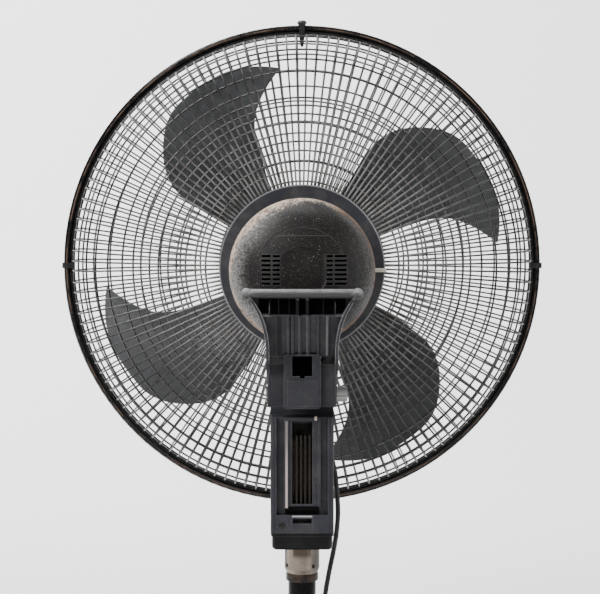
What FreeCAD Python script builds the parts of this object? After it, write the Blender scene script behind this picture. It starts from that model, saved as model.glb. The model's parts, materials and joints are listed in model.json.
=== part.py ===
import FreeCAD, Part

# Fan on a short telescopic pole with a round weighted base.
# Frame: millimetres, +Z up, the fan blows towards -Y.  The origin is the middle
# of the base's underside, on the axis of the pole.

import math
import os
import re

import Sketcher

V = FreeCAD.Vector
X_AXIS = V(1, 0, 0)
Y_AXIS = V(0, 1, 0)
Z_AXIS = V(0, 0, 1)

# ---------------------------------------------------------------- driving sizes

DIMENSIONS = {
    # whole fan
    "axis_z": 500,
    "gap": 0.3,
    "wall": 2.5,
    # base and pole
    "base_radius": 185,
    "base_edge": 10,
    "base_top": 63,
    "pad_height": 5,
    "pad_radius": 11,
    "pad_circle": 150,
    "weight_radius": 158,
    "weight_top": 12,
    "pole_radius": 12,
    "pole_bore": 10.8,
    "stem_radius": 10,
    "stem_bore": 8.8,
    "stem_low": 60,
    "stem_high": 325,
    "collar_radius": 15,
    "collar_low": 239,
    "collar_high": 266.6,
    "ring_low": 232,
    "clamp_z": 254,
    "grub_z": 246,
    # tower, heights measured down from the fan axis
    "tower_half": 26.4,
    "tower_front": -30,
    "tower_back": 45,
    "tower_wall": 2.4,
    "tower_split": -8,
    "tower_foot": 218,
    "tower_shoulder": 121,
    "channel_half": 21.5,
    "channel_floor": 28,
    "channel_foot": 203,
    "cap_foot": 233,
    "module_half": 15.2,
    "module_foot": 198.7,
    "module_back": 44,
    "module_flange": 41,
    "vent_half": 8.4,
    "vent_top": 124.6,
    "vent_foot": 194,
    "key_z": 308,
    "key_width": 8,
    "key_height": 22,
    "key_pitch": 10,
    # tilting fork with its carrying handle
    "tilt_drop": 107,
    "knuckle": 19,
    "pin_radius": 5,
    "stud_radius": 2.6,
    "knob_radius": 6.4,
    "arm_inside": 26.8,
    "arm_outside": 29.5,
    "arm_foot": 118,
    "saddle_top": 76,
    "saddle_thick": 4,
    "handle_y": 83,
    "handle_drop": 16,
    "handle_radius": 3.8,
    "handle_half": 44.5,
    "handle_bulb": 4.6,
    "web_half": 15.2,
    "web_front": 48.8,
    "web_back": 59.5,
    "web_foot": 112,
    "socket_top": 68.6,
    "socket_foot": 85,
    # oscillation
    "post_radius": 8,
    "crank_y": 36,
    "crank_throw": 11.5,
    "anchor_reach": 18,
    "link_length": 35.1,
    "link_thick": 3,
    # motor
    "motor_radius": 61,
    "plate_radius": 73.5,
    "plate_front": -45.8,
    "plate_back": -43.8,
    "cover_front": -43.4,
    "cover_split": 4,
    "dome_start": 34,
    "dome_back": 66,
    "boss_radius": 19.8,
    "boss_front": -60,
    "shaft_radius": 4,
    "shaft_front": -128,
    "shaft_back": 50,
    "stator_radius": 50,
    "rotor_radius": 24.4,
    "stack_front": -24,
    "stack_back": 14,
    # fan wheel
    "hub_radius": 36,
    "hub_front": -116,
    "hub_back": -70,
    "blade_mid": -93,
    "blade_thick": 2.2,
    "blade_count": 4,
    "first_tip": 6.5,
    "tip_lag": 34,
    # guards
    "cage_radius": 220,
    "rim_wire": 2,
    "rim_circle": 214,
    "back_rim_y": -107.5,
    "front_rim_y": -115.5,
    "wire_radius": 0.75,
    "spoke_count": 136,
    "back_spoke_start": 64,
    "back_spoke_y": -47,
    "back_corner_y": -65.4,
    "back_bend": 38.5,
    "front_spoke_start": 43,
    "front_spoke_y": -171,
    "front_corner_y": -155,
    "front_bend": 40,
    "badge_radius": 46,
    # cord
    "cord_radius": 2.3,
    "coil_x": -268,
    "coil_y": -150,
    "coil_mean": 26,
    "coil_half_width": 6.9,
    "coil_high": 13.8,
}

# The cord's corners from the strain relief's tip to the coil on the table.
CORD_ROUTE = [
    (-25, -36, 336), (-29, -37, 322.5), (-30.8, -36.6, 303), (-32.3, -36, 283), (-30, -36, 258),
    (-24.5, -37, 232), (-20, -39.5, 206), (-18.5, -44, 180), (-21, -51, 154), (-29, -60, 129),
    (-42, -70, 107), (-60, -81, 84), (-81, -91, 62), (-104, -99, 43), (-128, -106, 32.5),
    (-151, -111, 29.5), (-172, -115, 25), (-190, -118, 12.5), (-210, -120.2, 4), (-233, -120.4, 2.6),
    (-256.5, -119.4, 2.6),
]
PLUG_PLACE = (-256, -182.5, 6.85)

doc = FreeCAD.newDocument("desk_fan")
sheet = doc.addObject("Spreadsheet::Sheet", "dims")
for row, (word, number) in enumerate(DIMENSIONS.items(), start=1):
    sheet.set(f"A{row}", str(number))
    sheet.setAlias(f"A{row}", word)
doc.recompute()

nodes = []


# ---------------------------------------------------------------- small helpers

def bound(expression):
    """An expression with each dimension's word pointing at its cell."""
    return re.sub(r"[a-z]\w+", lambda hit: f"dims.{hit[0]}" if hit[0] in DIMENSIONS else hit[0],
                  str(expression))


def value(expression):
    """The number that an expression gives now."""
    return float(sheet.evalExpression(bound(expression)))


def node(label, thing):
    """Marks an object as a finished sub-part of the fan."""
    thing.Label = label
    nodes.append(thing)
    return thing


def place(thing, at=(0, 0, 0), axis="Z"):
    """Puts an object at a bound point with its own Z along the given axis."""
    turns = {"X": FreeCAD.Rotation(Y_AXIS, 90), "Y": FreeCAD.Rotation(X_AXIS, -90)}
    if axis in turns:
        thing.Placement.Rotation = turns[axis]
    for letter, distance in zip("xyz", at):
        if distance != 0:
            thing.setExpression(f"Placement.Base.{letter}", bound(distance))
    return thing


def cylinder(name, radius, length, at=(0, 0, 0), axis="Z"):
    thing = doc.addObject("Part::Cylinder", name)
    thing.setExpression("Radius", bound(radius))
    thing.setExpression("Height", bound(length))
    return place(thing, at, axis)


def box(name, low, high):
    """A block between two bound corners."""
    thing = doc.addObject("Part::Box", name)
    for side, start, end in zip(("Length", "Width", "Height"), low, high):
        thing.setExpression(side, bound(f"({end}) - ({start})"))
    return place(thing, low)


def torus(name, ring, section, at=(0, 0, 0), axis="Z"):
    thing = doc.addObject("Part::Torus", name)
    thing.setExpression("Radius1", bound(ring))
    thing.setExpression("Radius2", bound(section))
    return place(thing, at, axis)


def fuse(name, pieces):
    thing = doc.addObject("Part::MultiFuse", name)
    thing.Shapes = pieces
    thing.Refine = True
    return thing


def cut(name, base, tools):
    tool = tools[0] if len(tools) == 1 else group(name + "_tools", tools)
    thing = doc.addObject("Part::Cut", name)
    thing.Base = base
    thing.Tool = tool
    return thing


def common(name, first, second):
    thing = doc.addObject("Part::Common", name)
    thing.Base = first
    thing.Tool = second
    return thing


def group(name, pieces):
    thing = doc.addObject("Part::Compound", name)
    thing.Links = pieces
    return thing


def shaped(name, shape):
    """A sub-part whose shape is worked out with Part's own functions."""
    thing = doc.addObject("Part::Feature", name)
    thing.Shape = shape
    thing.Placement = FreeCAD.Placement()
    return thing


def softened(name, base, radius, chosen):
    """The base with the chosen edges rounded."""
    doc.recompute()
    thing = doc.addObject("Part::Fillet", name)
    thing.Base = base
    size = value(radius)
    edges = enumerate(base.Shape.Edges, start=1)
    thing.Edges = [(number, size, size) for number, edge in edges if chosen(edge)]
    return thing


def along(edge, axis):
    """Whether a straight edge runs along an axis."""
    if edge.Curve.TypeId != "Part::GeomLine":
        return False
    return abs(edge.tangentAt(edge.FirstParameter).dot(axis)) > 0.999


def draw(sketch, outline):
    """Draws a closed outline of (x, y) corners and fixes it to the dimensions.

    A corner with a third value starts an arc of that radius, counter-clockwise
    if it is positive and clockwise if it is negative.
    """
    points = [V(value(corner[0]), value(corner[1]), 0) for corner in outline]
    ends = []
    for index, corner in enumerate(outline):
        start, end = points[index], points[(index + 1) % len(points)]
        if len(corner) == 2:
            sketch.addGeometry(Part.LineSegment(start, end))
            ends.append((1, 2))
            continue
        radius = value(corner[2])
        chord = end - start
        side = V(chord.y, -chord.x, 0).normalize() * math.copysign(1, radius)
        rise = abs(radius) - math.sqrt(radius ** 2 - chord.Length ** 2 / 4)
        sketch.addGeometry(Part.Arc(start, (start + end) / 2 + side * rise, end))
        ends.append((1, 2) if radius > 0 else (2, 1))
        number = sketch.addConstraint(Sketcher.Constraint("Radius", index, abs(radius)))
        sketch.setExpression(f"Constraints[{number}]", bound(f"abs({corner[2]})"))
    for index, corner in enumerate(outline):
        before = index - 1 if index else len(outline) - 1
        first = ends[index][0]
        sketch.addConstraint(Sketcher.Constraint("Coincident", before, ends[before][1], index, first))
        for kind, axis, place_value in (("DistanceX", -2, 0), ("DistanceY", -1, 1)):
            distance = value(corner[place_value])
            if distance == 0:
                sketch.addConstraint(Sketcher.Constraint("PointOnObject", index, first, axis))
                continue
            number = sketch.addConstraint(Sketcher.Constraint(kind, -1, 1, index, first, distance))
            sketch.setExpression(f"Constraints[{number}]", bound(corner[place_value]))


def sketch_on(body, role, outline):
    """A sketch on one of the body's own origin planes."""
    sketch = body.newObject("Sketcher::SketchObject", body.Name + "_outline")
    plane = next(feature for feature in body.Origin.OriginFeatures if feature.Role == role)
    sketch.AttachmentSupport = [(plane, "")]
    sketch.MapMode = "FlatFace"
    draw(sketch, outline)
    return sketch


def turned(name, outline, at=(0, 0, 0), axis="Z"):
    """A round body; its outline is (radius, distance along the axis)."""
    body = doc.addObject("PartDesign::Body", name)
    sketch = sketch_on(body, "XY_Plane" if axis == "Y" else "XZ_Plane", outline)
    turning = body.newObject("PartDesign::Revolution", name + "_turning")
    turning.Profile = sketch
    turning.ReferenceAxis = (sketch, ["V_Axis"])
    turning.Angle = 360
    return place(body, at)


def padded(name, role, outline, start, length, at=(0, 0, 0)):
    """A body padded from an outline on a plane, from start over a length."""
    body = doc.addObject("PartDesign::Body", name)
    sketch = sketch_on(body, role, outline)
    offset = f"-({start}) - ({length})" if role == "XZ_Plane" else start
    sketch.setExpression("AttachmentOffset.Base.z", bound(offset))
    pad = body.newObject("PartDesign::Pad", name + "_pad")
    pad.Profile = sketch
    pad.setExpression("Length", bound(length))
    return place(body, at)


def rounded_box(left, low, right, high, corner):
    """The outline of a rectangle with round corners."""
    return [
        (f"{left} + {corner}", low), (f"{right} - {corner}", low, corner),
        (right, f"{low} + {corner}"), (right, f"{high} - {corner}", corner),
        (f"{right} - {corner}", high), (f"{left} + {corner}", high, corner),
        (left, f"{high} - {corner}"), (left, f"{low} + {corner}", corner),
    ]


def tube(name, outer, inner, length, at=(0, 0, 0), axis="Z"):
    return cut(name, cylinder(name + "_outside", outer, length, at, axis),
               [cylinder(name + "_bore", inner, length, at, axis)])


# ---------------------------------------------------------------- base and pole

def make_base_cover():
    outline = [
        ("base_radius - 3", 2), ("base_radius", 2), ("base_radius", "base_edge", 10),
        ("base_radius - 10", "base_edge + 10"), (60, 30, -26), (37, 50),
        (34.5, "base_top - 3", 3), (31.5, "base_top"), ("pole_radius + gap", "base_top"),
        ("pole_radius + gap", "base_top - 3"), (31.5, "base_top - 3"), (34, 49.5, 28.5),
        (59, 27.2), ("base_radius - 11", "base_edge + 7.2", -8.2), ("base_radius - 3", "base_edge"),
    ]
    node("base_cover", turned("base_cover", outline))


def make_base_weight():
    outline = [
        ("pole_radius + 0.05", 5), ("weight_radius", 5), ("weight_radius", "weight_top"),
        (30, "weight_top", -8), (22, "weight_top + 8"), (22, 44), ("pole_radius + 0.05", 44),
    ]
    node("base_weight", turned("base_weight", outline))


def make_foot_pads():
    pads = []
    for number in range(6):
        angle = number * 60 + 30
        pad = turned(f"foot_pad_{number}", [
            (0, 0), ("pad_radius - 1", 0), ("pad_radius", 1), ("pad_radius - 1", "pad_height"),
            (0, "pad_height"),
        ])
        pad.setExpression("Placement.Base.x", bound(f"pad_circle * cos({angle} deg)"))
        pad.setExpression("Placement.Base.y", bound(f"pad_circle * sin({angle} deg)"))
        pads.append(pad)
    node("foot_pads", group("foot_pads", pads))


def make_pole():
    node("outer_pole", tube("outer_pole", "pole_radius", "pole_bore", "240", (0, 0, 6)))
    node("inner_pole", tube("inner_pole", "stem_radius", "stem_bore", "stem_high - stem_low",
                            (0, 0, "stem_low")))


def make_collar():
    outline = [
        ("pole_radius + 0.05", "collar_low"), ("collar_radius - 1.5", "collar_low"),
        ("collar_radius", "collar_low + 4"), ("collar_radius", "collar_high - 0.8", 0.8),
        ("collar_radius - 0.8", "collar_high"), ("stem_radius + gap", "collar_high"),
        ("stem_radius + gap", "246.2"), ("pole_radius + 0.05", "246.2"),
    ]
    body = turned("collar_body", outline)
    holes = []
    for name, angle in (("left", 30), ("right", 130)):
        hole = cylinder(f"grub_hole_{name}", 1.8, 5, (0, 0, "grub_z"), "X")
        hole.setExpression("Placement.Base.x", bound(f"12.2 * cos({angle} deg)"))
        hole.setExpression("Placement.Base.y", bound(f"12.2 * sin({angle} deg)"))
        hole.Placement.Rotation = FreeCAD.Rotation(Z_AXIS, angle) * FreeCAD.Rotation(Y_AXIS, 90)
        holes.append(hole)
    holes.append(cylinder("clamp_hole", 3.05, 6, (0, "-collar_radius - 1", "clamp_z"), "Y"))
    node("height_collar", cut("height_collar", body, holes))

    screws = []
    for name, angle in (("left", 30), ("right", 130)):
        screw = cylinder(f"grub_{name}", 1.7, 1.7, (0, 0, "grub_z"), "X")
        screw.setExpression("Placement.Base.x", bound(f"12.4 * cos({angle} deg)"))
        screw.setExpression("Placement.Base.y", bound(f"12.4 * sin({angle} deg)"))
        screw.Placement.Rotation = FreeCAD.Rotation(Z_AXIS, angle) * FreeCAD.Rotation(Y_AXIS, 90)
        screws.append(screw)
    node("collar_screws", group("collar_screws", screws))

    node("pole_top_ring", turned("pole_top_ring", [
        ("pole_radius + 0.05", "ring_low"), ("pole_radius + 1.2", "ring_low", 0.8),
        ("pole_radius + 2", "ring_low + 0.8"), ("pole_radius + 2", "collar_low - 1.2"),
        ("pole_radius + 1.4", "collar_low - 0.2"), ("pole_radius + 0.05", "collar_low - 0.2"),
    ]))


def make_clamp_knob():
    """A fluted thumb screw through the front of the collar."""
    shank = cylinder("clamp_shank", 3, 13, (0, -23.3, "clamp_z"), "Y")
    head = cylinder("clamp_head", 11, 8, (0, -31, "clamp_z"), "Y")
    flutes = []
    for number in range(8):
        angle = number * 45
        flutes.append(cylinder(f"clamp_flute_{number}", 2.5, 10, (
            f"12 * cos({angle} deg)", -32, f"clamp_z + 12 * sin({angle} deg)"), "Y"))
    node("clamp_knob", fuse("clamp_knob", [shank, cut("clamp_grip", head, flutes)]))


# ---------------------------------------------------------------- tower

def make_tower():
    """Two half shells round the top of the pole, with the tilt knuckle on top."""
    outside = padded("tower_outside", "YZ_Plane", [
        ("tower_front", "-tower_foot"), ("tower_back", "-tower_foot"),
        ("tower_back", "-tower_shoulder"), ("knuckle + 1", "-tower_shoulder"),
        ("knuckle", "-tilt_drop", "knuckle"), (0, "knuckle - tilt_drop", "knuckle"),
        ("-knuckle", "-tilt_drop"), ("-knuckle", "-tilt_drop - 4"),
        ("tower_front", "-tilt_drop - 15"),
    ], "-tower_half", "2 * tower_half", (0, 0, "axis_z"))
    inside = padded("tower_inside", "YZ_Plane", [
        ("tower_front + tower_wall", "-tower_foot - 1"), ("channel_floor - tower_wall", "-tower_foot - 1"),
        ("channel_floor - tower_wall", "-tower_shoulder - tower_wall"),
        ("knuckle - 1.4", "-tower_shoulder - tower_wall"),
        ("knuckle - tower_wall", "-tilt_drop", "knuckle - tower_wall"),
        (0, "knuckle - tower_wall - tilt_drop", "knuckle - tower_wall"),
        ("tower_wall - knuckle", "-tilt_drop"), ("tower_wall - knuckle", "-tilt_drop - 5"),
        ("tower_front + tower_wall", "-tilt_drop - 16"),
    ], "tower_wall - tower_half", "2 * (tower_half - tower_wall)", (0, 0, "axis_z"))
    rounded = softened("tower_rounded", outside, 8, lambda edge: (
        along(edge, Z_AXIS) and edge.CenterOfMass.y < value("tower_front") + 1))
    edged = softened("tower_edged", rounded, 1.6, lambda edge: (
        along(edge, Z_AXIS) and edge.CenterOfMass.y > value("tower_back") - 1))
    channel = box("tower_channel", ("-channel_half", "channel_floor", "axis_z - channel_foot"),
                  ("channel_half", "tower_back + 1", "axis_z - tower_shoulder + 1"))
    slot = box("tower_slot", (-8, "channel_floor + 12", "axis_z - 210"),
               (8, "tower_back + 1", "axis_z - 206"))
    pin_hole = cylinder("tilt_pin_hole", "pin_radius + 0.05", "2 * tower_half + 2",
                        ("-tower_half - 1", 0, "axis_z - tilt_drop"), "X")
    keys = []
    for number in range(4):
        middle = f"(key_pitch * ({number} - 1.5))"
        keys.append(box(f"key_opening_{number}",
                        (f"{middle} - key_width / 2 - gap", "tower_front - 1", "key_z - key_height / 2 - gap"),
                        (f"{middle} + key_width / 2 + gap", "tower_front + 4", "key_z + key_height / 2 + gap")))
    cord_hole = cylinder("cord_hole", 4.3, 6, (relief_elbow().x, "tower_front - 1", relief_elbow().z), "Y")
    screw_hole = cylinder("boss_hole", 3, 3, (16.5, "tower_back - 2", "axis_z - 211.5"), "Y")
    shell = cut("tower_hollow", edged, [inside, channel, slot, pin_hole, cord_hole, screw_hole] + keys)
    doc.recompute()

    front_side = box("front_side", (-60, -60, 200), (60, "tower_split", 480))
    back_side = box("back_side", (-60, -60, 200), (60, "tower_split + gap", 480))
    node("tower_front_shell", common("tower_front_shell", shell, front_side))
    node("tower_rear_shell", cut("tower_rear_shell", shell, [back_side]))


def make_bottom_cap():
    outline = rounded_box("(1 - tower_half)", "(tower_front + 1.5)", "(tower_half - 1)", "(tower_back - 1.5)", 5)
    lip = rounded_box("(-tower_half)", "(tower_front + 0.5)", "tower_half", "(tower_back - 0.5)", 5)
    cup = softened("cap_cup", padded("cap_block", "XY_Plane", outline, "axis_z - cap_foot", 12), 3.2,
                   lambda edge: edge.CenterOfMass.z < value("axis_z - cap_foot") + 0.1)
    rim = padded("cap_rim", "XY_Plane", lip, "axis_z - tower_foot - 3.2", 3)
    plug = box("cap_plug", (-21, -24, "axis_z - tower_foot - 1"), (21, 22, "axis_z - tower_foot + 8"))
    bore = cylinder("cap_bore", "stem_radius + 0.05", 40, (0, 0, "axis_z - cap_foot - 1"))
    hollow = box("cap_hollow", (-18.5, -21.5, "axis_z - tower_foot - 8"), (18.5, 19.5, "axis_z - tower_foot + 9"))
    seat = cylinder("cap_seat", "stem_radius + 4", 24, (0, 0, "axis_z - cap_foot + 0.5"))
    shell = cut("cap_shell", fuse("cap_solid", [cup, rim, plug]), [hollow])
    node("bottom_cap", cut("bottom_cap", fuse("cap_with_seat", [shell, seat]), [bore]))


def make_rear_module():
    """The frame in the tower's channel, its finned vent and small trims."""
    frame = padded("module_block", "XZ_Plane", rounded_box(
        "(-module_half)", "(-module_foot)", "module_half", "(-tower_shoulder - 0.5)", 1.5),
        "channel_floor + 0.1", "module_back - channel_floor - 0.1", (0, 0, "axis_z"))
    opening = box("vent_opening", ("-vent_half", "channel_floor - 1", "axis_z - vent_foot"),
                  ("vent_half", "module_back + 1", "axis_z - vent_top"))
    flange = box("module_flange_plate", ("0.1 - channel_half", "channel_floor + 0.1", "axis_z - channel_foot + 0.1"),
                 ("channel_half - 0.1", "module_flange", "axis_z - tower_shoulder - 0.1"))
    recess = box("module_recess", ("-module_half + 2", "module_back - 1.2", "axis_z - module_foot + 2"),
                 ("module_half - 3.9", "module_back + 1", "axis_z - vent_top + 1.4"))
    strip_seat = box("strip_seat", ("module_half - 3.6", "module_back - 1.2", "axis_z - module_foot + 1.5"),
                     ("module_half - 0.4", "module_back + 1", "axis_z - tower_shoulder - 3"))
    clip_seat = box("clip_seat", (-12.4, "module_back - 3", "axis_z - 123.6"),
                    (-10.2, "module_back + 1", "axis_z - 120"))
    node("rear_module_frame", cut("rear_module_frame", fuse("module_solid", [frame, flange]), [opening, recess, strip_seat, clip_seat]))

    plate = box("vent_plate", ("-vent_half + 0.2", "channel_floor + 0.2", "axis_z - vent_foot + 0.2"),
                ("vent_half - 0.2", "channel_floor + 2", "axis_z - vent_top - 0.2"))
    fins = []
    for number in range(4):
        middle = 4.6 - number * 3.6
        fins.append(box(f"vent_fin_{number}",
                        (middle - 0.7, "channel_floor + 1", "axis_z - vent_foot + 0.2"),
                        (middle + 0.7, "module_back - 2", "axis_z - 137")))
    ledge = box("vent_ledge", ("-vent_half + 0.2", "channel_floor + 1", "axis_z - vent_top - 2"),
                ("vent_half - 0.2", "module_back - 4", "axis_z - vent_top - 0.2"))
    node("vent_louvre", fuse("vent_louvre", [plate, ledge] + fins))
    node("side_strip", box("side_strip",
                           ("module_half - 3.5", "module_back - 1.1", "axis_z - module_foot + 1.6"),
                           ("module_half - 0.5", "module_back + 0.5", "axis_z - tower_shoulder - 3.2")))
    node("latch_clip", box("latch_clip", (-12.2, "module_back - 2.9", "axis_z - 123.4"),
                           (-10.4, "module_back + 1.2", "axis_z - 120.4")))


def make_tower_insides():
    block = box("switch_body", (-21, -19, "key_z - 15"), (21, -11.5, "key_z + 15"))
    wells = []
    for number in range(4):
        middle = f"(key_pitch * ({number} - 1.5))"
        wells.append(box(f"switch_well_{number}", (f"{middle} - 2.4", -20, "key_z - 3"),
                         (f"{middle} + 2.4", -12.5, "key_z + 3")))
    node("switch_block", cut("switch_block", block, wells))
    node("run_capacitor", box("run_capacitor", (-18, -22, 336), (18, -9.2, 352)))
    screws = []
    for name, height in (("low", "axis_z - 211.5"),):
        shank = cylinder(f"shell_screw_{name}", 2.7, 1.6, (16.5, "tower_back - 1.9", height), "Y")
        recess = box(f"screw_slot_{name}", (14, "tower_back - 0.9", f"{height} - 0.4"),
                     (19, "tower_back", f"{height} + 0.4"))
        screws.append(cut(f"shell_screw_{name}_slotted", shank, [recess]))
    node("shell_screw", group("shell_screw", screws))


def make_keys():
    """Four push keys on the tower's front; each has a stem that meets the switch."""
    for number, label in enumerate(("key_off", "key_low", "key_medium", "key_high")):
        middle = f"(key_pitch * (1.5 - {number}))"
        face = box(f"{label}_face", (f"{middle} - key_width / 2", "tower_front - 6", "key_z - key_height / 2"),
                   (f"{middle} + key_width / 2", "tower_front + 3", "key_z + key_height / 2"))
        cap = softened(f"{label}_cap", face, 1.2, lambda edge: edge.CenterOfMass.y < -35.9)
        stem = box(f"{label}_stem", (f"{middle} - 2", "tower_front + 2", "key_z - 2.6"),
                   (f"{middle} + 2", -17.6, "key_z + 2.6"))
        node(label, fuse(label, [cap, stem]))


def relief_elbow():
    return V(-17, value("tower_front") - 4, 362)


def make_strain_relief():
    """A plug in the tower's front and a tapered boot that points down."""
    elbow_x, elbow_z = relief_elbow().x, relief_elbow().z
    seat = cylinder("relief_seat", 4.2, 4.5, (elbow_x, "tower_front - 2", elbow_z), "Y")
    flange = cylinder("relief_flange", 6, 1.6, (elbow_x, "tower_front - 1.7", elbow_z), "Y")
    elbow = doc.addObject("Part::Sphere", "relief_elbow")
    elbow.Radius = 4.4
    place(elbow, tuple(relief_elbow()))
    tip = V(*CORD_ROUTE[0])
    upward = relief_elbow() - tip
    boot = doc.addObject("Part::Cone", "relief_boot")
    boot.setExpression("Radius1", bound("cord_radius + 0.7"))
    boot.Radius2 = 4.3
    boot.Height = upward.Length
    place(boot, CORD_ROUTE[0])
    boot.Placement.Rotation = FreeCAD.Rotation(Z_AXIS, upward)
    node("cord_strain_relief", fuse("cord_strain_relief", [seat, flange, elbow, boot]))


# ---------------------------------------------------------------- tilting fork

def make_fork():
    """Two arms, a saddle for the swivel, the handle and the panel below it."""
    front_view = [
        ("arm_inside", "-arm_foot"), ("arm_outside - 1.2", "-arm_foot", 1.2),
        ("arm_outside", "1.2 - arm_foot"), ("arm_outside", -62, -70), (46.6, "-handle_drop"),
        (43.2, "-handle_drop", 72.5), ("arm_inside", -62),
    ]
    side_view = [
        (-11, "-tilt_drop", 11), (0, "-arm_foot", 11), (11, "-tilt_drop"), (24, -97), (54, -84, 60),
        (83.5, -30), ("handle_y + 4", "-handle_drop"), ("handle_y - 4", "-handle_drop"),
        (75, -34, -55), (52, -75), (-28, -75), (-28, -81), (-13, -96),
    ]
    high = (0, 0, "axis_z")
    arms = []
    for name, mirrored in (("left", False), ("right", True)):
        outline = front_view
        if mirrored:
            outline = [(f"-({corner[0]})",) + tuple(corner[1:2]) + tuple(
                f"-({radius})" for radius in corner[2:]) for corner in front_view]
        width = padded(f"arm_{name}_front", "XZ_Plane", outline, -40, 140, high)
        depth = padded(f"arm_{name}_side", "YZ_Plane", side_view, -60, 120, high)
        arms.append(common(f"arm_{name}", width, depth))

    slope = [(53, -69), (56, -69), (80.5, -34), (79, -32.5), (76.5, -33)]
    inner_view = [
        ("-arm_inside - 1", -70), ("arm_inside + 1", -70), ("arm_inside + 1", -62, -71),
        (34, -33), (35.4, -30), (-35.4, -30), (-34, -33, -71), ("-arm_inside - 1", -62),
    ]
    panel = common("fork_panel", padded("panel_slope", "YZ_Plane", slope, -50, 100, high),
                   padded("panel_width", "XZ_Plane", inner_view, 40, 60, high))
    rib_side = [(55, -69), (58, -69), (82, -34.5), (79, -32.5)]
    ribs = []
    for number, middle in enumerate((20.5, 11.5, 8, 1.6, -5, -13, -20.5)):
        ribs.append(padded(f"panel_rib_{number}", "YZ_Plane", rib_side, middle - 0.8, 1.6, high))
    for number, middle in enumerate((3.9, -4.0)):
        ribs.append(box(f"gap_rib_{number}", (middle - 1.3, 75, "axis_z - 34"),
                        (middle + 1.3, 82.5, "axis_z - handle_drop")))
    for number, middle in enumerate((26, 19, 10.5, -17, -26)):
        ribs.append(box(f"well_rib_{number}", (middle - 0.6, 75, "axis_z - 33.4"),
                        (middle + 0.6, 76.6, "axis_z - 19.4")))
    ribs.append(padded("handle_well", "XZ_Plane", [
        (-35.4, -30), (-33.6, -33.6), (33.6, -33.6), (35.4, -30), (41.4, -19), (-41.4, -19),
    ], 73.9, 1.7, high))
    bar = cylinder("handle_bar", "handle_radius", "2 * handle_half",
                   ("-handle_half", "handle_y", "axis_z - handle_drop"), "X")
    for name, side in (("left", "handle_half"), ("right", "-handle_half")):
        bulb = doc.addObject("Part::Sphere", f"handle_bulb_{name}")
        bulb.setExpression("Radius", bound("handle_bulb"))
        place(bulb, (side, "handle_y", "axis_z - handle_drop"))
        ribs.append(bulb)
    saddle = box("fork_saddle", ("-arm_inside - 1", -28, "axis_z - saddle_top - saddle_thick"),
                 ("arm_inside + 1", 54, "axis_z - saddle_top"))
    web = padded("fork_web", "XZ_Plane", rounded_box(
        "(-web_half)", "(-web_foot)", "web_half", "(-67)", 2.6), "web_front", "web_back - web_front", high)
    cheeks = box("web_cheeks", ("-arm_inside - 1", "web_front + 0.6", "axis_z - web_foot + 1"),
                 ("arm_inside + 1", 54, "axis_z - saddle_top - 3"))
    solid = fuse("fork_solid", arms + [panel, bar, saddle, web, cheeks] + ribs)

    socket = box("rear_socket", (-8.2, 54, "axis_z - socket_foot"), (8.2, 70, "axis_z - socket_top"))
    notch = box("socket_notch", (-2, 56, "axis_z - socket_foot - 2"), (2, 70, "axis_z - socket_foot + 1"))
    panel_seat = box("panel_seat", (-12.6, "web_back - 1.2", "axis_z - 110.2"), (12.6, 70, "axis_z - 88.8"))
    sweep = cylinder("crank_sweep", 52, 20, (0, 0, "axis_z - saddle_top + 1"))
    swivel = cylinder("swivel_seat", 10, 20, (0, 0, "axis_z - 90"))
    pin = cylinder("arm_pin_hole", "pin_radius + 0.05", 80, (-40, 0, "axis_z - tilt_drop"), "X")
    cleared = cut("fork_cleared", solid, [socket, notch, panel_seat, sweep, swivel, pin])
    anchor = cylinder("link_anchor", 2.5, 3.2, (*anchor_point(), "axis_z - saddle_top - 0.3"))
    node("tilt_fork", fuse("tilt_fork", [cleared, anchor]))
    node("module_panel", box("module_panel", (-12.4, "web_back - 1.1", "axis_z - 110"),
                             (12.4, "web_back + 0.4", "axis_z - 89")))
    node("swivel_bush", turned("swivel_bush", [
        ("post_radius + 0.05", -81.5), (9.95, -81.5), (9.95, "-saddle_top + 0.05"),
        (13, "-saddle_top + 0.05"), (13, "-saddle_top + 1.8"), ("post_radius + 0.05", "-saddle_top + 1.8"),
    ], high))


def make_tilt_pin():
    height = "axis_z - tilt_drop"
    shank = cylinder("tilt_pin_shank", "pin_radius", "2 * arm_outside + 1", ("-arm_outside", 0, height), "X")
    stud = cylinder("tilt_pin_stud", "stud_radius", 8, ("-arm_outside - 7", 0, height), "X")
    head = cylinder("tilt_pin_head", 6.5, 1.4, ("arm_outside + gap", 0, height), "X")
    node("tilt_pin", fuse("tilt_pin", [shank, stud, head]))
    grip = cylinder("tilt_knob_grip", "knob_radius", 9, ("-arm_outside - 9 - gap", 0, height), "X")
    bore = cylinder("tilt_knob_bore", "stud_radius + 0.05", 7.6, ("-arm_outside - 7.4", 0, height), "X")
    flutes = []
    for number in range(6):
        angle = number * 60
        flutes.append(cylinder(f"tilt_flute_{number}", 1.6, 12, (
            "-arm_outside - 10", f"(knob_radius + 0.7) * cos({angle} deg)",
            f"{height} + (knob_radius + 0.7) * sin({angle} deg)"), "X"))
    node("tilt_knob", cut("tilt_knob", grip, [bore] + flutes))


# ---------------------------------------------------------------- oscillation

def anchor_point():
    """Where the link is anchored on the saddle, by the crank's middle position."""
    reach, crank = value("anchor_reach"), value("crank_y")
    span = math.hypot(value("link_length"), value("crank_throw"))
    angle = math.acos((reach ** 2 + crank ** 2 - span ** 2) / (2 * reach * crank))
    return -reach * math.sin(angle), reach * math.cos(angle)


def crank_pin_point():
    """Where the crank pin stands at rest: link and crank at a right angle."""
    x, y = anchor_point()
    crank, throw = value("crank_y"), value("crank_throw")
    span = math.hypot(x, y - crank)
    angle = math.atan2(y - crank, x) - math.acos(throw / span)
    return throw * math.cos(angle), crank + throw * math.sin(angle)


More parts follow.
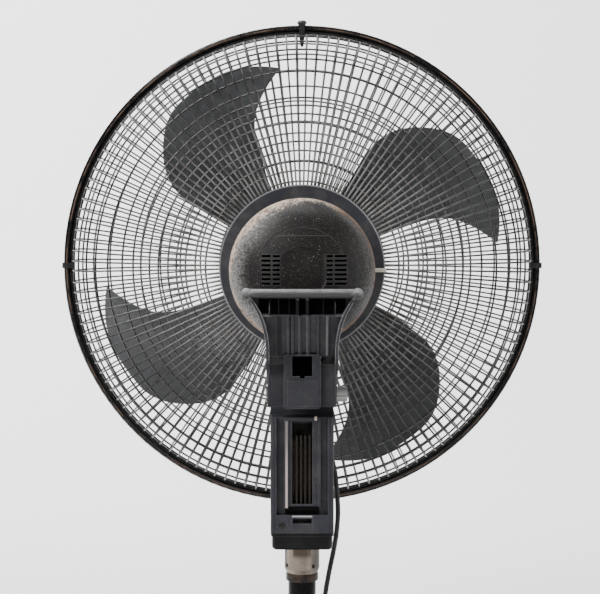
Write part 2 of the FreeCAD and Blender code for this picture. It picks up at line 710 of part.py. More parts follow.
def make_oscillation():
    post = cylinder("post_shaft", "post_radius", 22, (0, 0, "axis_z - 86.5"))
    block = box("post_block", (-16, -30, "axis_z - 68"), (16, 18, "axis_z - 57"))
    hollow = cylinder("post_hollow", "motor_radius + 0.1", 60, (0, -40, "axis_z"), "Y")
    node("swivel_post", fuse("swivel_post", [post, cut("post_saddle", block, [hollow])]))

    x, y = crank_pin_point()
    disc = cylinder("crank_disc", 14.5, 3, (0, "crank_y", "axis_z - 66.5"))
    stub = cylinder("crank_stub", 3, 16, (0, "crank_y", "axis_z - 64"))
    pin = cylinder("crank_pin", 2.4, 7.4, (x, y, "axis_z - 73.4"))
    node("oscillation_crank", fuse("oscillation_crank", [disc, stub, pin]))

    anchor_x, anchor_y = anchor_point()
    length = math.hypot(anchor_x - x, anchor_y - y)
    level = V(x, y, value("axis_z") - 72.4)
    bar = Part.makeBox(length, 5, value("link_thick"), V(0, -2.5, 0))
    eyes = [Part.makeCylinder(4.6, value("link_thick"), V(end, 0, 0)) for end in (0, length)]
    link = bar.fuse(eyes)
    link = link.cut([Part.makeCylinder(2.5, 9, V(end, 0, -3)) for end in (0, length)])
    heading = math.degrees(math.atan2(anchor_y - y, anchor_x - x))
    link = link.removeSplitter()
    thing = shaped("oscillation_link", link)
    thing.Placement = FreeCAD.Placement(level, FreeCAD.Rotation(Z_AXIS, heading))
    node("oscillation_link", thing)


# ---------------------------------------------------------------- motor

def make_motor_covers():
    high = (0, 0, "axis_z")
    front = turned("front_cover_body", [
        (11, "boss_front"), ("boss_radius", "boss_front"), ("boss_radius", "cover_front"),
        ("motor_radius - 2", "cover_front", 2), ("motor_radius", "cover_front + 2"),
        ("motor_radius", "cover_split"), ("motor_radius - wall", "cover_split"),
        ("motor_radius - wall", "cover_front + 3"), (11, "cover_front + 3"),
    ], high, "Y")
    node("motor_front_cover", front)

    rear = turned("rear_cover_body", [
        ("motor_radius", "cover_split + 0.2"), ("motor_radius", "dome_start", 26),
        (44, 58.4, 131.2), (21, 64.32), (20, "dome_back - 2.4"), (0, "dome_back - 2.4"),
        (0, "dome_back - 4.9"), (19, "dome_back - 4.9"), (20.5, 61.86, -128.7),
        (43.14, 56.06, -23.5), ("motor_radius - wall", "dome_start"),
        ("motor_radius - wall", "cover_split + 0.2"),
    ], high, "Y")
    slots = []
    for side, columns in (("left", ((17.9, 24.2), (25.6, 33.2))), ("right", ((-25, -19.6), (-36.4, -26.4)))):
        for column, (low_x, high_x) in enumerate(columns):
            for number in range(7):
                level = f"axis_z - 10 + {number} * 3.75"
                slots.append(box(f"vent_{side}_{column}_{number}", (low_x, 45, level),
                                 (high_x, 75, f"{level} + 2")))
    groove = torus("dome_groove", 37, 0.8, (0, 60.9, "axis_z"), "Y")
    crank_hole = cylinder("crank_hole", 3.3, 12, (0, "crank_y", "axis_z - 66"))
    marked = cut("rear_cover_marked", rear, [groove, crank_hole])
    node("motor_rear_cover", cut("motor_rear_cover", marked, slots))


def make_motor_insides():
    high = (0, 0, "axis_z")
    node("stator_core", tube("stator_core", "stator_radius", "rotor_radius + 0.6", "stack_back - stack_front",
                             (0, "stack_front", "axis_z"), "Y"))
    rings = []
    for name, start in (("front", "stack_front - 9.2"), ("back", "stack_back + 0.2")):
        rings.append(turned(f"winding_{name}", [
            (29, start), (43, start, 3), (46, f"{start} + 3"), (46, f"{start} + 6", 3),
            (43, f"{start} + 9"), (29, f"{start} + 9", 3), (26, f"{start} + 6"), (26, f"{start} + 3", 3),
        ], high, "Y"))
    node("stator_windings", group("stator_windings", rings))
    front_bush = tube("front_bush", 10.95, "shaft_radius + 0.05", 14, (0, "boss_front + 0.5", "axis_z"), "Y")
    rear_bush = tube("rear_bush", 7.95, "shaft_radius + 0.05", 9, (0, 27, "axis_z"), "Y")
    node("bearing_bushes", group("bearing_bushes", [front_bush, rear_bush]))
    case = box("gear_case", (-13, 27, "axis_z - 47"), (13, 45, "axis_z - 10"))
    bracket = box("gear_bracket", (-14, 27, "axis_z - 20"), (14, 34, "axis_z + 13"))
    seat = cylinder("gear_seat", 8, 9, (0, 26.5, "axis_z"), "Y")
    crank_room = cylinder("gear_crank_room", 3.3, 14, (0, "crank_y", "axis_z - 49"))
    node("oscillation_gearbox", cut("oscillation_gearbox", fuse("gear_solid", [case, bracket]),
                                    [seat, crank_room]))


def make_rotor():
    high = (0, 0, "axis_z")
    shaft = cylinder("shaft_rod", "shaft_radius", "shaft_back - shaft_front", (0, "shaft_front", "axis_z"), "Y")
    worm = cylinder("shaft_worm", 5.5, 8, (0, 38.5, "axis_z"), "Y")
    pin_hole = cylinder("shaft_pin_hole", 1.5, 12, (-6, -77, "axis_z"), "X")
    node("motor_shaft", cut("motor_shaft", fuse("shaft_solid", [shaft, worm]), [pin_hole]))
    node("drive_pin", cylinder("drive_pin", 1.5, 16, (-8, -77, "axis_z"), "X"))
    node("rotor_core", tube("rotor_core", "rotor_radius", "shaft_radius", "stack_back - stack_front - 1",
                            (0, "stack_front + 0.5", "axis_z"), "Y"))
    node("spinner_nut", turned("spinner_nut", [
        ("shaft_radius", "hub_front - 0.2"), (14, "hub_front - 0.2"), (14, "hub_front - 3.2"),
        (11.5, "hub_front - 9"), (9.5, "hub_front - 13"), (7, "hub_front - 14.6"), (0, "hub_front - 14.6"),
        (0, "shaft_front - 0.1"), ("shaft_radius", "shaft_front - 0.1"),
    ], high, "Y"))


def blade_plate():
    """A twisted, cambered plate with its long way along +X, wider than the blade.

    The blade's middle line points along X and its leading edge along -Z.
    """
    sections = []
    for reach, slope, camber in ((28, 1.15, 2), (75, 0.72, 4), (115, 0.46, 6), (152, 0.30, 7), (196, 0.24, 7)):
        half = 26 if reach < 60 else 112 if reach > 130 else 60
        middle, thick = value("blade_mid"), value("blade_thick") / 2
        edges = []
        for offset in (-thick, thick):
            points = [V(reach, middle - slope * half * 0.9 + offset, half),
                      V(reach, middle + camber + offset, 0),
                      V(reach, middle + slope * half * 0.9 + offset, -half)]
            edges.append(Part.Arc(*points).toShape())
        low, high = edges
        sides = [Part.LineSegment(low.Vertexes[0].Point, high.Vertexes[0].Point).toShape(),
                 Part.LineSegment(low.Vertexes[-1].Point, high.Vertexes[-1].Point).toShape()]
        sections.append(Part.Wire(Part.__sortEdges__([low, high] + sides)))
    return Part.makeLoft(sections, True, False)


def blade_outline():
    """The blade's edge in the fan's plane: a leading bow, a hooked tip, a hollow back."""
    def curve(points):
        spline = Part.BSplineCurve()
        spline.interpolate([V(reach, 0, -side) for reach, side in points])
        return spline.toShape()

    leading = curve([(30, 17), (73, 28), (104, 38), (127, 42), (147, 37), (163, 26), (178, 9), (185, -12)])
    outer = curve([(185, -12), (184.5, -40), (178, -68), (166, -88), (152, -103)])
    hollow = curve([(152, -103), (148, -88), (140, -68), (131, -55), (118, -45), (95, -34), (74, -25), (30, -17)])
    root = Part.LineSegment(V(30, 0, 17), V(30, 0, -17)).toShape()
    return Part.Face(Part.Wire([leading, outer, hollow, root]))


def make_fan_blade():
    """The moulded wheel: a hub shell, a driving boss and the blades."""
    front, back = value("hub_front"), value("hub_back")
    outline = [
        (value("shaft_radius") + 0.05, front), (value("hub_radius") - 6, front), (value("hub_radius"), front + 6),
        (value("hub_radius"), back), (value("hub_radius") - value("wall"), back),
        (value("hub_radius") - value("wall"), front + 6), (value("hub_radius") - 6.5, front + 2.8),
        (10, front + 2.8), (10, back - 3), (value("shaft_radius") + 0.05, back - 3),
    ]
    hub = Part.Face(Part.makePolygon([V(r, y, 0) for r, y in outline + outline[:1]])).revolve(
        V(), Y_AXIS, 360)
    prism = blade_outline().extrude(V(0, 120, 0))
    prism.translate(V(0, value("blade_mid") - 60, 0))
    blade = blade_plate().common(prism)
    core = Part.makeCylinder(value("hub_radius") - 1.2, 80, V(0, value("blade_mid") - 40, 0), Y_AXIS)
    blade = blade.cut(core)
    count = int(value("blade_count"))
    wheel = hub
    for number in range(count):
        turned_blade = blade.copy()
        turned_blade.rotate(V(), Y_AXIS, 180 + value("first_tip + tip_lag") + number * 360 / count)
        wheel = wheel.fuse(turned_blade)
    slot = Part.makeBox(17, 6, 3.4, V(-8.5, -77 - 1.7, -1.7))
    wheel = wheel.cut(slot)
    thing = shaped("fan_blade", wheel.removeSplitter())
    thing.Placement.Base = V(0, 0, value("axis_z"))
    node("fan_blade", thing)


# ---------------------------------------------------------------- guards

def guard_path(front):
    """A guard wire's centre line in (radius, y): a flat run, a bend and the rim end.

    Returns the bend's centre, its start and the wire's edges.
    """
    word, lean = ("front", 1) if front else ("back", -1)
    inner = V(value(f"{word}_spoke_start"), value(f"{word}_spoke_y"), 0)
    rim_end = value("rim_circle") - value("rim_wire") - value("wire_radius") - 0.25
    corner = V(rim_end, value(f"{word}_corner_y"), 0)
    along_flat = (corner - inner).normalize()
    down = V(0, lean, 0)
    bend = value(f"{word}_bend")
    reach = bend * math.tan(along_flat.getAngle(down) / 2)
    first, last = corner - along_flat * reach, corner + down * reach
    centre = last - V(bend, 0, 0)
    middle = centre + ((first + last) / 2 - centre).normalize() * bend
    end = V(rim_end, value(f"{word}_rim_y"), 0)
    edges = [Part.LineSegment(inner, first).toShape(), Part.Arc(first, middle, last).toShape()]
    if (end - last).dot(down) > 0.5:
        edges.append(Part.LineSegment(last, end).toShape())
    return centre, first, edges


def make_guard_spokes(label, front):
    edges = guard_path(front)[2]
    path = Part.Wire(edges)
    start = edges[0].Vertexes[0].Point
    heading = edges[0].tangentAt(edges[0].FirstParameter)
    section = Part.Face(Part.Wire(Part.makeCircle(value("wire_radius"), start, heading)))
    spoke = path.makePipe(section)
    count = int(value("spoke_count"))
    spokes = []
    for number in range(count):
        copy = spoke.copy()
        copy.rotate(V(), Y_AXIS, (number + 0.5) * 360 / count)
        spokes.append(copy)
    thing = shaped(label, Part.makeCompound(spokes))
    thing.Placement.Base = V(0, 0, value("axis_z"))
    node(label, thing)


def make_guard_rings(label, front, flat_radii, bend_turns):
    """Ring wires inside the spokes, and the thick rim wire."""
    centre, first, edges = guard_path(front)
    inward = 2 * value("wire_radius") + 0.2
    lean = 1 if front else -1
    start, flat = edges[0].Vertexes[0].Point, (first - edges[0].Vertexes[0].Point)
    slope = flat.y / flat.x
    wires = []
    for radius in flat_radii:
        level = start.y + slope * (radius - start.x) + lean * inward
        wires.append((radius, level))
    bend = value("front_bend" if front else "back_bend") - inward
    for turn in bend_turns:
        angle = math.radians(turn)
        wires.append((centre.x + bend * math.sin(angle), centre.y - lean * bend * math.cos(angle)))
    rings = [Part.makeTorus(radius, value("wire_radius"), V(0, level, 0), Y_AXIS) for radius, level in wires]
    rim_level = value("front_rim_y" if front else "back_rim_y")
    rings.append(Part.makeTorus(value("rim_circle"), value("rim_wire"), V(0, rim_level, 0), Y_AXIS))
    thing = shaped(label, Part.makeCompound(rings))
    thing.Placement.Base = V(0, 0, value("axis_z"))
    node(label, thing)


def make_guards():
    make_guard_spokes("rear_guard_spokes", False)
    make_guard_spokes("front_guard_spokes", True)
    make_guard_rings("rear_guard_rings", False, [86 + 9.3 * step for step in range(10)], (18, 36, 54, 70, 84))
    make_guard_rings("front_guard_rings", True, [60 + 19 * step for step in range(6)], (20, 45, 68))
    high = (0, 0, "axis_z")
    node("rear_guard_plate", turned("rear_guard_plate", [
        ("boss_radius + 0.1", "plate_front"), ("plate_radius", "plate_front"), ("plate_radius", "plate_back"),
        ("boss_radius + 0.1", "plate_back"),
    ], high, "Y"))
    node("rear_guard_nut", turned("rear_guard_nut", [
        ("boss_radius + 0.1", -57), (31, -57), (33, -55), (33, -48), (31, -46), ("boss_radius + 0.1", -46),
    ], high, "Y"))
    node("front_badge", turned("front_badge", [
        (0, -173.2), ("badge_radius", -173.2), ("badge_radius", -176), ("badge_radius - 3", -178.5),
        (30, -179), (29, -178.2), (28, -179), (0, -180),
    ], high, "Y"))
    node("guard_trim_ring", turned("guard_trim_ring", [
        ("cage_radius - 7", "front_rim_y - 4.5"), ("cage_radius - 1.5", "front_rim_y - 4.5", -1.5),
        ("cage_radius", "front_rim_y - 3"), ("cage_radius", "back_rim_y + 3", 1.5),
        ("cage_radius - 1.5", "back_rim_y + 4.5"), ("cage_radius - 4.5", "back_rim_y + 4.5"),
        ("cage_radius - 4.5", "back_rim_y + 3"), ("cage_radius - 3", "back_rim_y + 3"),
        ("cage_radius - 3", "front_rim_y - 3"), ("cage_radius - 7", "front_rim_y - 3"),
    ], high, "Y"))
    node("guard_lock_pin", cylinder("guard_lock_pin", 1.8, 12.5, (-74.5, -41.8, "axis_z - 2"), "X"))


def make_clips():
    """Spring clips over the rim at the sides and the foot, and the screwed top clip."""
    clips = []
    for name, angle in (("left", 0), ("right", 180), ("foot", 270)):
        shape = Part.makeBox(1, 20, 5, V(value("cage_radius") + 0.2, value("front_rim_y") - 6, -2.5))
        tongue = Part.makeBox(11, 1.6, 5, V(value("cage_radius") - 9.8, value("back_rim_y") + 4.9, -2.5))
        lip = Part.makeBox(7, 1.4, 5, V(value("cage_radius") - 5.8, value("front_rim_y") - 6, -2.5))
        shape = shape.fuse([tongue, lip]).removeSplitter()
        shape.rotate(V(), Y_AXIS, -angle)
        clips.append(shape)
    thing = shaped("guard_clips", Part.makeCompound(clips))
    thing.Placement.Base = V(0, 0, value("axis_z"))
    node("guard_clips", thing)

    top = "axis_z + cage_radius"
    bridge = box("top_bridge", (-3.4, "front_rim_y - 6", f"{top} + 0.2"), (3.4, "back_rim_y + 7", f"{top} + 1.7"))
    tongue = padded("top_tongue", "XZ_Plane", [
        (-2.5, 1.7), (-2.5, -11), (-1.3, -19), (0, -20.5), (1.3, -19), (2.5, -11), (2.5, 1.7),
    ], "back_rim_y + 5", 1.8, (0, 0, top))
    lip = box("top_lip", (-3.4, "front_rim_y - 6", f"{top} - 7"), (3.4, "front_rim_y - 4.8", f"{top} + 1.7"))
    shank_hole = cylinder("top_hole", 1.8, 3, (0, -111.5, f"{top} - 0.2"))
    node("top_clip", cut("top_clip", fuse("top_clip_solid", [bridge, tongue, lip]), [shank_hole]))
    shank = cylinder("top_screw_shank", 1.75, 2.2, (0, -111.5, f"{top} + 0.3"))
    head = cylinder("top_screw_head", 4.4, 3.2, (0, -111.5, f"{top} + 2.1"))
    rounded = softened("top_screw_cap", head, 2.2, lambda edge: (
        edge.CenterOfMass.z > value(top) + 5))
    node("top_clip_screw", fuse("top_clip_screw", [shank, rounded]))


# ---------------------------------------------------------------- cord

def make_cord():
    """Straight runs joined by arcs that are tangent to them."""
    points = [V(*point) for point in CORD_ROUTE]
    radius = value("cord_radius")
    edges, here, radii = [], points[0], []
    for before, corner, after in zip(points, points[1:], points[2:]):
        towards, onwards = corner - before, after - corner
        turn = towards.getAngle(onwards)
        cut_back = 0.45 * min(towards.Length, onwards.Length)
        bend = cut_back / math.tan(turn / 2)
        radii.append(round(bend, 1))
        start = corner - towards.normalize() * cut_back
        end = corner + onwards.normalize() * cut_back
        inside = (onwards - towards).normalize()
        middle = corner + inside * (bend / math.cos(turn / 2) - bend)
        edges.append(Part.LineSegment(here, start).toShape())
        edges.append(Part.Arc(start, middle, end).toShape())
        here = end
    edges.append(Part.LineSegment(here, points[-1]).toShape())
    heading = edges[0].tangentAt(edges[0].FirstParameter)
    begin = points[0] + heading * 0.1
    edges[0] = Part.LineSegment(begin, edges[0].Vertexes[1].Point).toShape()
    path = Part.Wire(edges)
    section = Part.Face(Part.Wire(Part.makeCircle(radius, begin, heading)))
    solid = path.makePipe(section)
    print("cord bend radii", radii)
    print("cord tube length", round(path.Length, 1))
    print("cord volume ratio", round(solid.Volume / (math.pi * radius ** 2 * path.Length), 5))
    node("power_cord", shaped("power_cord", solid))


def make_coil():
    """The outer shape of the wound-up rest of the cord."""
    half, high, bend = "coil_half_width", "coil_high", "cord_radius"
    node("cord_coil", turned("cord_coil", [
        (f"coil_mean - {half} + {bend}", 0), (f"coil_mean + {half} - {bend}", 0, bend),
        (f"coil_mean + {half}", bend), (f"coil_mean + {half}", f"{high} - {bend}", bend),
        (f"coil_mean + {half} - {bend}", high), (f"coil_mean - {half} + {bend}", high, bend),
        (f"coil_mean - {half}", f"{high} - {bend}"), (f"coil_mean - {half}", bend, bend),
    ], ("coil_x", "coil_y", 0)))


def make_plug():
    """A flat two-pin plug lying beside the coil, its cord end touching it."""
    body = padded("plug_block", "XY_Plane", [
        (0, -3.6), (13, -4.6), (23, -15.5), (26, -17.4), (34, -17.4), (34, 17.4), (26, 17.4),
        (23, 15.5), (13, 4.6), (0, 3.6),
    ], -6.8, 13.6)
    soft = softened("plug_soft", body, 2.4, lambda edge: abs(edge.CenterOfMass.z) > 6.7
                    and 14 < edge.CenterOfMass.x < 33)
    node("plug", place(soft, PLUG_PLACE))
    pins = []
    for number, side in enumerate((-9.5, 9.5)):
        pins.append(cylinder(f"plug_pin_{number}", 2, 19, (
            PLUG_PLACE[0] + 34, PLUG_PLACE[1] + side, PLUG_PLACE[2]), "X"))
    node("plug_pins", group("plug_pins", pins))


# ---------------------------------------------------------------- assembly

make_base_cover()
make_base_weight()
make_foot_pads()
make_pole()
make_collar()
make_clamp_knob()
make_tower()
make_bottom_cap()
make_rear_module()
make_tower_insides()
make_keys()
make_strain_relief()
make_fork()
make_tilt_pin()
make_oscillation()
make_motor_covers()
make_motor_insides()
make_rotor()
make_fan_blade()
make_guards()
make_clips()
make_cord()
make_coil()
make_plug()

doc.recompute()
broken = [thing.Name for thing in doc.Objects if "Invalid" in thing.State or "Error" in thing.State]
if broken:
    raise RuntimeError(f"these objects failed: {broken}")
os.makedirs("parts", exist_ok=True)
for thing in nodes:
    if thing.Shape.isNull() or not thing.Shape.isValid():
        raise RuntimeError(f"{thing.Label} has no valid shape")
    thing.Shape.exportStep(f"parts/{thing.Label}.step")
print(len(nodes), "sub-parts")
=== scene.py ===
import json
import math
import random

import bmesh
import bpy
from mathutils import Matrix, Vector


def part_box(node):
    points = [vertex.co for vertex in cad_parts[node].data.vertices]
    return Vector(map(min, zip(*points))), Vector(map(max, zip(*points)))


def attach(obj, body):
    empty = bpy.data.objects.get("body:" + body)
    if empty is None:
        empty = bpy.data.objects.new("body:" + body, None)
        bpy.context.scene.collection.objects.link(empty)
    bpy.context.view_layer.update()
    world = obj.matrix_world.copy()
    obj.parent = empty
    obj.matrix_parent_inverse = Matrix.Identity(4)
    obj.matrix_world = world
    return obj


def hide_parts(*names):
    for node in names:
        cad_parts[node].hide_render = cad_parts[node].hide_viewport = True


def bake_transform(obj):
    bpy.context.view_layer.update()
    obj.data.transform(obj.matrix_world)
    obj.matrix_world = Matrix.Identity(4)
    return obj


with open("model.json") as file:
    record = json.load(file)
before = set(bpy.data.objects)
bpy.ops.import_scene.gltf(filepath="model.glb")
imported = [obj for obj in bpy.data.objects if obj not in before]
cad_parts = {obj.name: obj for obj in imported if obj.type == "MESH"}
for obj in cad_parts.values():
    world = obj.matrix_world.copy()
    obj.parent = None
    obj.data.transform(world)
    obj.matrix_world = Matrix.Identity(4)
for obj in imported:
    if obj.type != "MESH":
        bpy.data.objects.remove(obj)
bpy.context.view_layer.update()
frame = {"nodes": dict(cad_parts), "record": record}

nodes = frame["nodes"]
MM = 0.001

# ------------------------------------------------------------------ places read from the frame

hub_low, hub_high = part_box("motor_shaft")
AXIS = Vector((0, 0, (hub_low.z + hub_high.z) / 2))
ring_low, ring_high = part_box("guard_trim_ring")
CAGE_RADIUS = (ring_high.z - ring_low.z) / 2
RIM_Y = (ring_low.y + ring_high.y) / 2
PLATE_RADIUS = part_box("rear_guard_plate")[1].x


# ------------------------------------------------------------------ camera and light

def make_camera():
    """From behind the fan, a little above its axis, looking slightly down."""
    aside, behind, above = 0.0018, 1.288, 0.050
    looking_down = 3.26
    data = bpy.data.cameras.new("camera")
    data.lens = 90.4
    data.sensor_width = 36
    data.dof.use_dof = False
    camera = bpy.data.objects.new("camera", data)
    camera.location = (aside, behind, AXIS.z + above)
    camera.rotation_euler = (math.radians(90 - looking_down), 0, math.pi)
    bpy.context.scene.collection.objects.link(camera)
    bpy.context.scene.camera = camera


def area_light(name, place, target, size, power):
    data = bpy.data.lights.new(name, "AREA")
    data.shape = "RECTANGLE"
    data.size, data.size_y = size
    data.energy = power
    light = bpy.data.objects.new(name, data)
    light.location = place
    light.rotation_euler = (Vector(target) - Vector(place)).to_track_quat("-Z", "Y").to_euler()
    bpy.context.scene.collection.objects.link(light)


def make_studio():
    """A pale floor that curves up behind the fan, soft boxes and a dim world that looks pale."""
    near_edge, far_edge, curve = 3.4, -1.6, 1.2
    wall_top, half_width = 4.5, 5
    lights_with, adds_to_view = 0.13, 0.55
    profile = [(near_edge, 0.0), (0.0, 0.0), (far_edge, 0.0)]
    for step in range(1, 11):
        turn = math.pi / 2 * step / 10
        profile.append((far_edge - curve * math.sin(turn), curve - curve * math.cos(turn)))
    profile.append((far_edge - curve, wall_top))

    mesh = bpy.data.meshes.new("floor")
    work = bmesh.new()
    rows = [[work.verts.new((x, y, z)) for x in (-half_width, half_width)] for y, z in profile]
    for lower, upper in zip(rows, rows[1:]):
        work.faces.new((lower[0], lower[1], upper[1], upper[0])).smooth = True
    work.to_mesh(mesh)
    work.free()
    floor = bpy.data.objects.new("floor", mesh)
    bpy.context.scene.collection.objects.link(floor)
    paint = Look("backdrop_paper", (0.80, 0.80, 0.80), 0.9)
    floor.data.materials.append(paint.material)

    world = bpy.data.worlds.new("studio")
    world.use_nodes = True
    background = world.node_tree.nodes["Background"]
    background.inputs["Color"].default_value = (1, 1, 1, 1)
    seen = world.node_tree.nodes.new("ShaderNodeMath")
    seen.operation = "MULTIPLY_ADD"
    seen.inputs[1].default_value = adds_to_view
    seen.inputs[2].default_value = lights_with
    path = world.node_tree.nodes.new("ShaderNodeLightPath")
    world.node_tree.links.new(path.outputs["Is Camera Ray"], seen.inputs[0])
    world.node_tree.links.new(seen.outputs[0], background.inputs["Strength"])
    bpy.context.scene.world = world

    area_light("key_softbox", (1.5, 1.7, 1.9), (0, 0, 0.5), (0.9, 0.9), 54)
    area_light("fill_softbox", (-1.9, 1.6, 0.9), (0, 0, 0.45), (0.6, 1.6), 15)
    area_light("top_softbox", (0.2, 0.3, 2.3), (0, 0, 0.4), (1.4, 0.8), 20)
    area_light("backdrop_light", (1.4, -1.2, 2.4), (0.9, -2.8, 0.9), (2.6, 0.8), 200)
    area_light("backdrop_fill", (-1.6, -1.2, 2.0), (-0.9, -2.8, 0.6), (2.0, 0.8), 60)


# ------------------------------------------------------------------ procedural materials

class Look:
    """A material built up layer by layer on one Principled shader."""

    def __init__(self, name, colour, roughness=0.5, metallic=0.0, coat=0.0, specular=None):
        self.material = bpy.data.materials.new(name)
        self.material.use_nodes = True
        self.tree = self.material.node_tree
        self.shader = self.tree.nodes["Principled BSDF"]
        self.shader.inputs["Base Color"].default_value = (*colour, 1)
        self.shader.inputs["Roughness"].default_value = roughness
        self.shader.inputs["Metallic"].default_value = metallic
        self.shader.inputs["Coat Weight"].default_value = coat
        if specular is not None:
            self.shader.inputs["Specular IOR Level"].default_value = specular
        self.material.diffuse_color = (*colour, 1)
        self.place = self.node("ShaderNodeTexCoord").outputs["Object"]
        self.normal = None

    def node(self, kind, **settings):
        made = self.tree.nodes.new(kind)
        for key, setting in settings.items():
            setattr(made, key, setting)
        return made

    def feed(self, socket, source):
        """Links an output, or sets a number or colour."""
        if isinstance(source, bpy.types.NodeSocket):
            self.tree.links.new(source, socket)
        elif isinstance(source, tuple) and len(source) == 3 and socket.type == "RGBA":
            socket.default_value = (*source, 1)
        else:
            socket.default_value = source

    def maths(self, operation, first, second=0.0):
        made = self.node("ShaderNodeMath", operation=operation)
        for socket, source in zip(made.inputs, (first, second)):
            self.feed(socket, source)
        return made.outputs[0]

    def product(self, *masks):
        """All the masks multiplied together."""
        made = masks[0]
        for mask in masks[1:]:
            made = self.maths("MULTIPLY", made, mask)
        return made

    def aside(self):
        """Distance from the middle plane."""
        return self.maths("ABSOLUTE", self.axis("x"))

    def spot(self, stretch=(1, 1, 1), shift=(0, 0, 0)):
        made = self.node("ShaderNodeMapping")
        self.feed(made.inputs["Vector"], self.place)
        made.inputs["Scale"].default_value = stretch
        made.inputs["Location"].default_value = shift
        return made.outputs[0]

    def noise(self, scale, detail=4.0, rough=0.6, stretch=(1, 1, 1), shift=(0, 0, 0)):
        made = self.node("ShaderNodeTexNoise")
        self.feed(made.inputs["Vector"], self.spot(stretch, shift))
        made.inputs["Scale"].default_value = scale
        made.inputs["Detail"].default_value = detail
        made.inputs["Roughness"].default_value = rough
        return made.outputs["Fac"]

    def grains(self, scale, size, shift=(0, 0, 0)):
        """Small separate specks: 1 inside a speck, 0 between them."""
        made = self.node("ShaderNodeTexVoronoi")
        self.feed(made.inputs["Vector"], self.spot(shift=shift))
        made.inputs["Scale"].default_value = scale
        return self.ramp(made.outputs["Distance"], size, size * 0.4)

    def ramp(self, source, start, end, low=0.0, high=1.0):
        made = self.node("ShaderNodeMapRange", interpolation_type="SMOOTHSTEP")
        values = (source, start, end, low, high)
        if start > end:
            values = (source, end, start, high, low)
        for socket, fed in zip(made.inputs, values):
            self.feed(socket, fed)
        return made.outputs[0]

    def axis(self, letter):
        made = self.node("ShaderNodeSeparateXYZ")
        self.feed(made.inputs[0], self.place)
        return made.outputs[letter.upper()]

    def from_axis(self):
        """Distance from the fan's axis, which runs along Y."""
        shift = self.node("ShaderNodeVectorMath", operation="SUBTRACT")
        self.feed(shift.inputs[0], self.place)
        shift.inputs[1].default_value = tuple(AXIS)
        flat = self.node("ShaderNodeVectorMath", operation="MULTIPLY")
        self.feed(flat.inputs[0], shift.outputs[0])
        flat.inputs[1].default_value = (1, 0, 1)
        length = self.node("ShaderNodeVectorMath", operation="LENGTH")
        self.feed(length.inputs[0], flat.outputs[0])
        return length.outputs["Value"]

    def facing(self, direction, start, end):
        """1 where the surface faces a direction, such as up, where dust settles."""
        normal = self.node("ShaderNodeNewGeometry").outputs["Normal"]
        dot = self.node("ShaderNodeVectorMath", operation="DOT_PRODUCT")
        self.feed(dot.inputs[0], normal)
        dot.inputs[1].default_value = direction
        return self.ramp(dot.outputs["Value"], start, end)

    def edges(self, radius, start=0.995, end=0.90):
        """1 on sharp outer edges, where a painted highlight goes, and where handling rubs them bright."""
        rounded = self.node("ShaderNodeBevel", samples=6)
        rounded.inputs["Radius"].default_value = radius
        true_normal = self.node("ShaderNodeNewGeometry").outputs["Normal"]
        dot = self.node("ShaderNodeVectorMath", operation="DOT_PRODUCT")
        self.feed(dot.inputs[0], rounded.outputs[0])
        self.feed(dot.inputs[1], true_normal)
        return self.ramp(dot.outputs["Value"], start, end)

    def crevices(self, reach):
        """1 deep in grooves and corners, where grime and shadow gather."""
        open_sky = self.node("ShaderNodeAmbientOcclusion", samples=8)
        open_sky.inputs["Distance"].default_value = reach
        return self.ramp(open_sky.outputs["AO"], 0.72, 0.30)

    def between(self, letter, low, high, soft=0.0003):
        """1 where a coordinate lies between two values."""
        place = self.axis(letter)
        return self.product(self.ramp(place, low - soft, low + soft),
                            self.ramp(place, high + soft, high - soft))

    def layer(self, mask, colour=None, roughness=None, metallic=None, specular=None):
        """Puts a colour, roughness, metal or shine over what is there, where the mask is 1."""
        for name, over in (("Base Color", colour), ("Roughness", roughness), ("Metallic", metallic),
                           ("Specular IOR Level", specular)):
            if over is None:
                continue
            socket = self.shader.inputs[name]
            made = self.node("ShaderNodeMix", data_type="RGBA" if name == "Base Color" else "FLOAT")
            first, second = (6, 7) if name == "Base Color" else (2, 3)
            under = socket.links[0].from_socket if socket.is_linked else None
            if under is None:
                held = socket.default_value
                under = tuple(held)[:3] if name == "Base Color" else held
            self.feed(made.inputs[0], mask)
            self.feed(made.inputs[first], under)
            self.feed(made.inputs[second], over)
            self.tree.links.new(made.outputs[2 if name == "Base Color" else 0], socket)
        return self

    def bump(self, height, depth, strength):
        made = self.node("ShaderNodeBump")
        self.feed(made.inputs["Height"], height)
        made.inputs["Distance"].default_value = depth
        made.inputs["Strength"].default_value = strength
        if self.normal is not None:
            self.feed(made.inputs["Normal"], self.normal)
        self.normal = made.outputs[0]
        self.feed(self.shader.inputs["Normal"], self.normal)
        return self


def dusty(look, amount):
    """House dust: a thin mottled film, thicker on what faces up, with specks."""
    film = look.ramp(look.noise(55, 6, 0.65), 0.42, 0.78, 0, 0.35 * amount)
    settled = look.product(look.facing((0, 0, 1), 0.25, 1.0), 0.45 * amount)
    uneven = look.ramp(look.noise(126.5, 5, 0.7, shift=(3, 1, 7)), 0.25, 0.75, 0.35, 1.0)
    cover = look.maths("MAXIMUM", film, look.product(settled, uneven))
    look.layer(cover, (0.30, 0.27, 0.235), 0.85)
    specks = look.product(look.grains(520, 0.16), look.ramp(look.noise(90, 3), 0.5, 0.72), amount)
    return look.layer(specks, (0.42, 0.38, 0.33), 0.9)


def scratched(look):
    """Fine upright rubbed lines, in patches."""
    lines = look.ramp(look.noise(420, 3, 0.6, stretch=(1, 1, 0.06)), 0.62, 0.70)
    patch = look.ramp(look.noise(24, 3, 0.5, shift=(5, 2, 1)), 0.48, 0.66)
    return look.layer(look.product(lines, patch, 0.3), (0.20, 0.20, 0.21), 0.6)


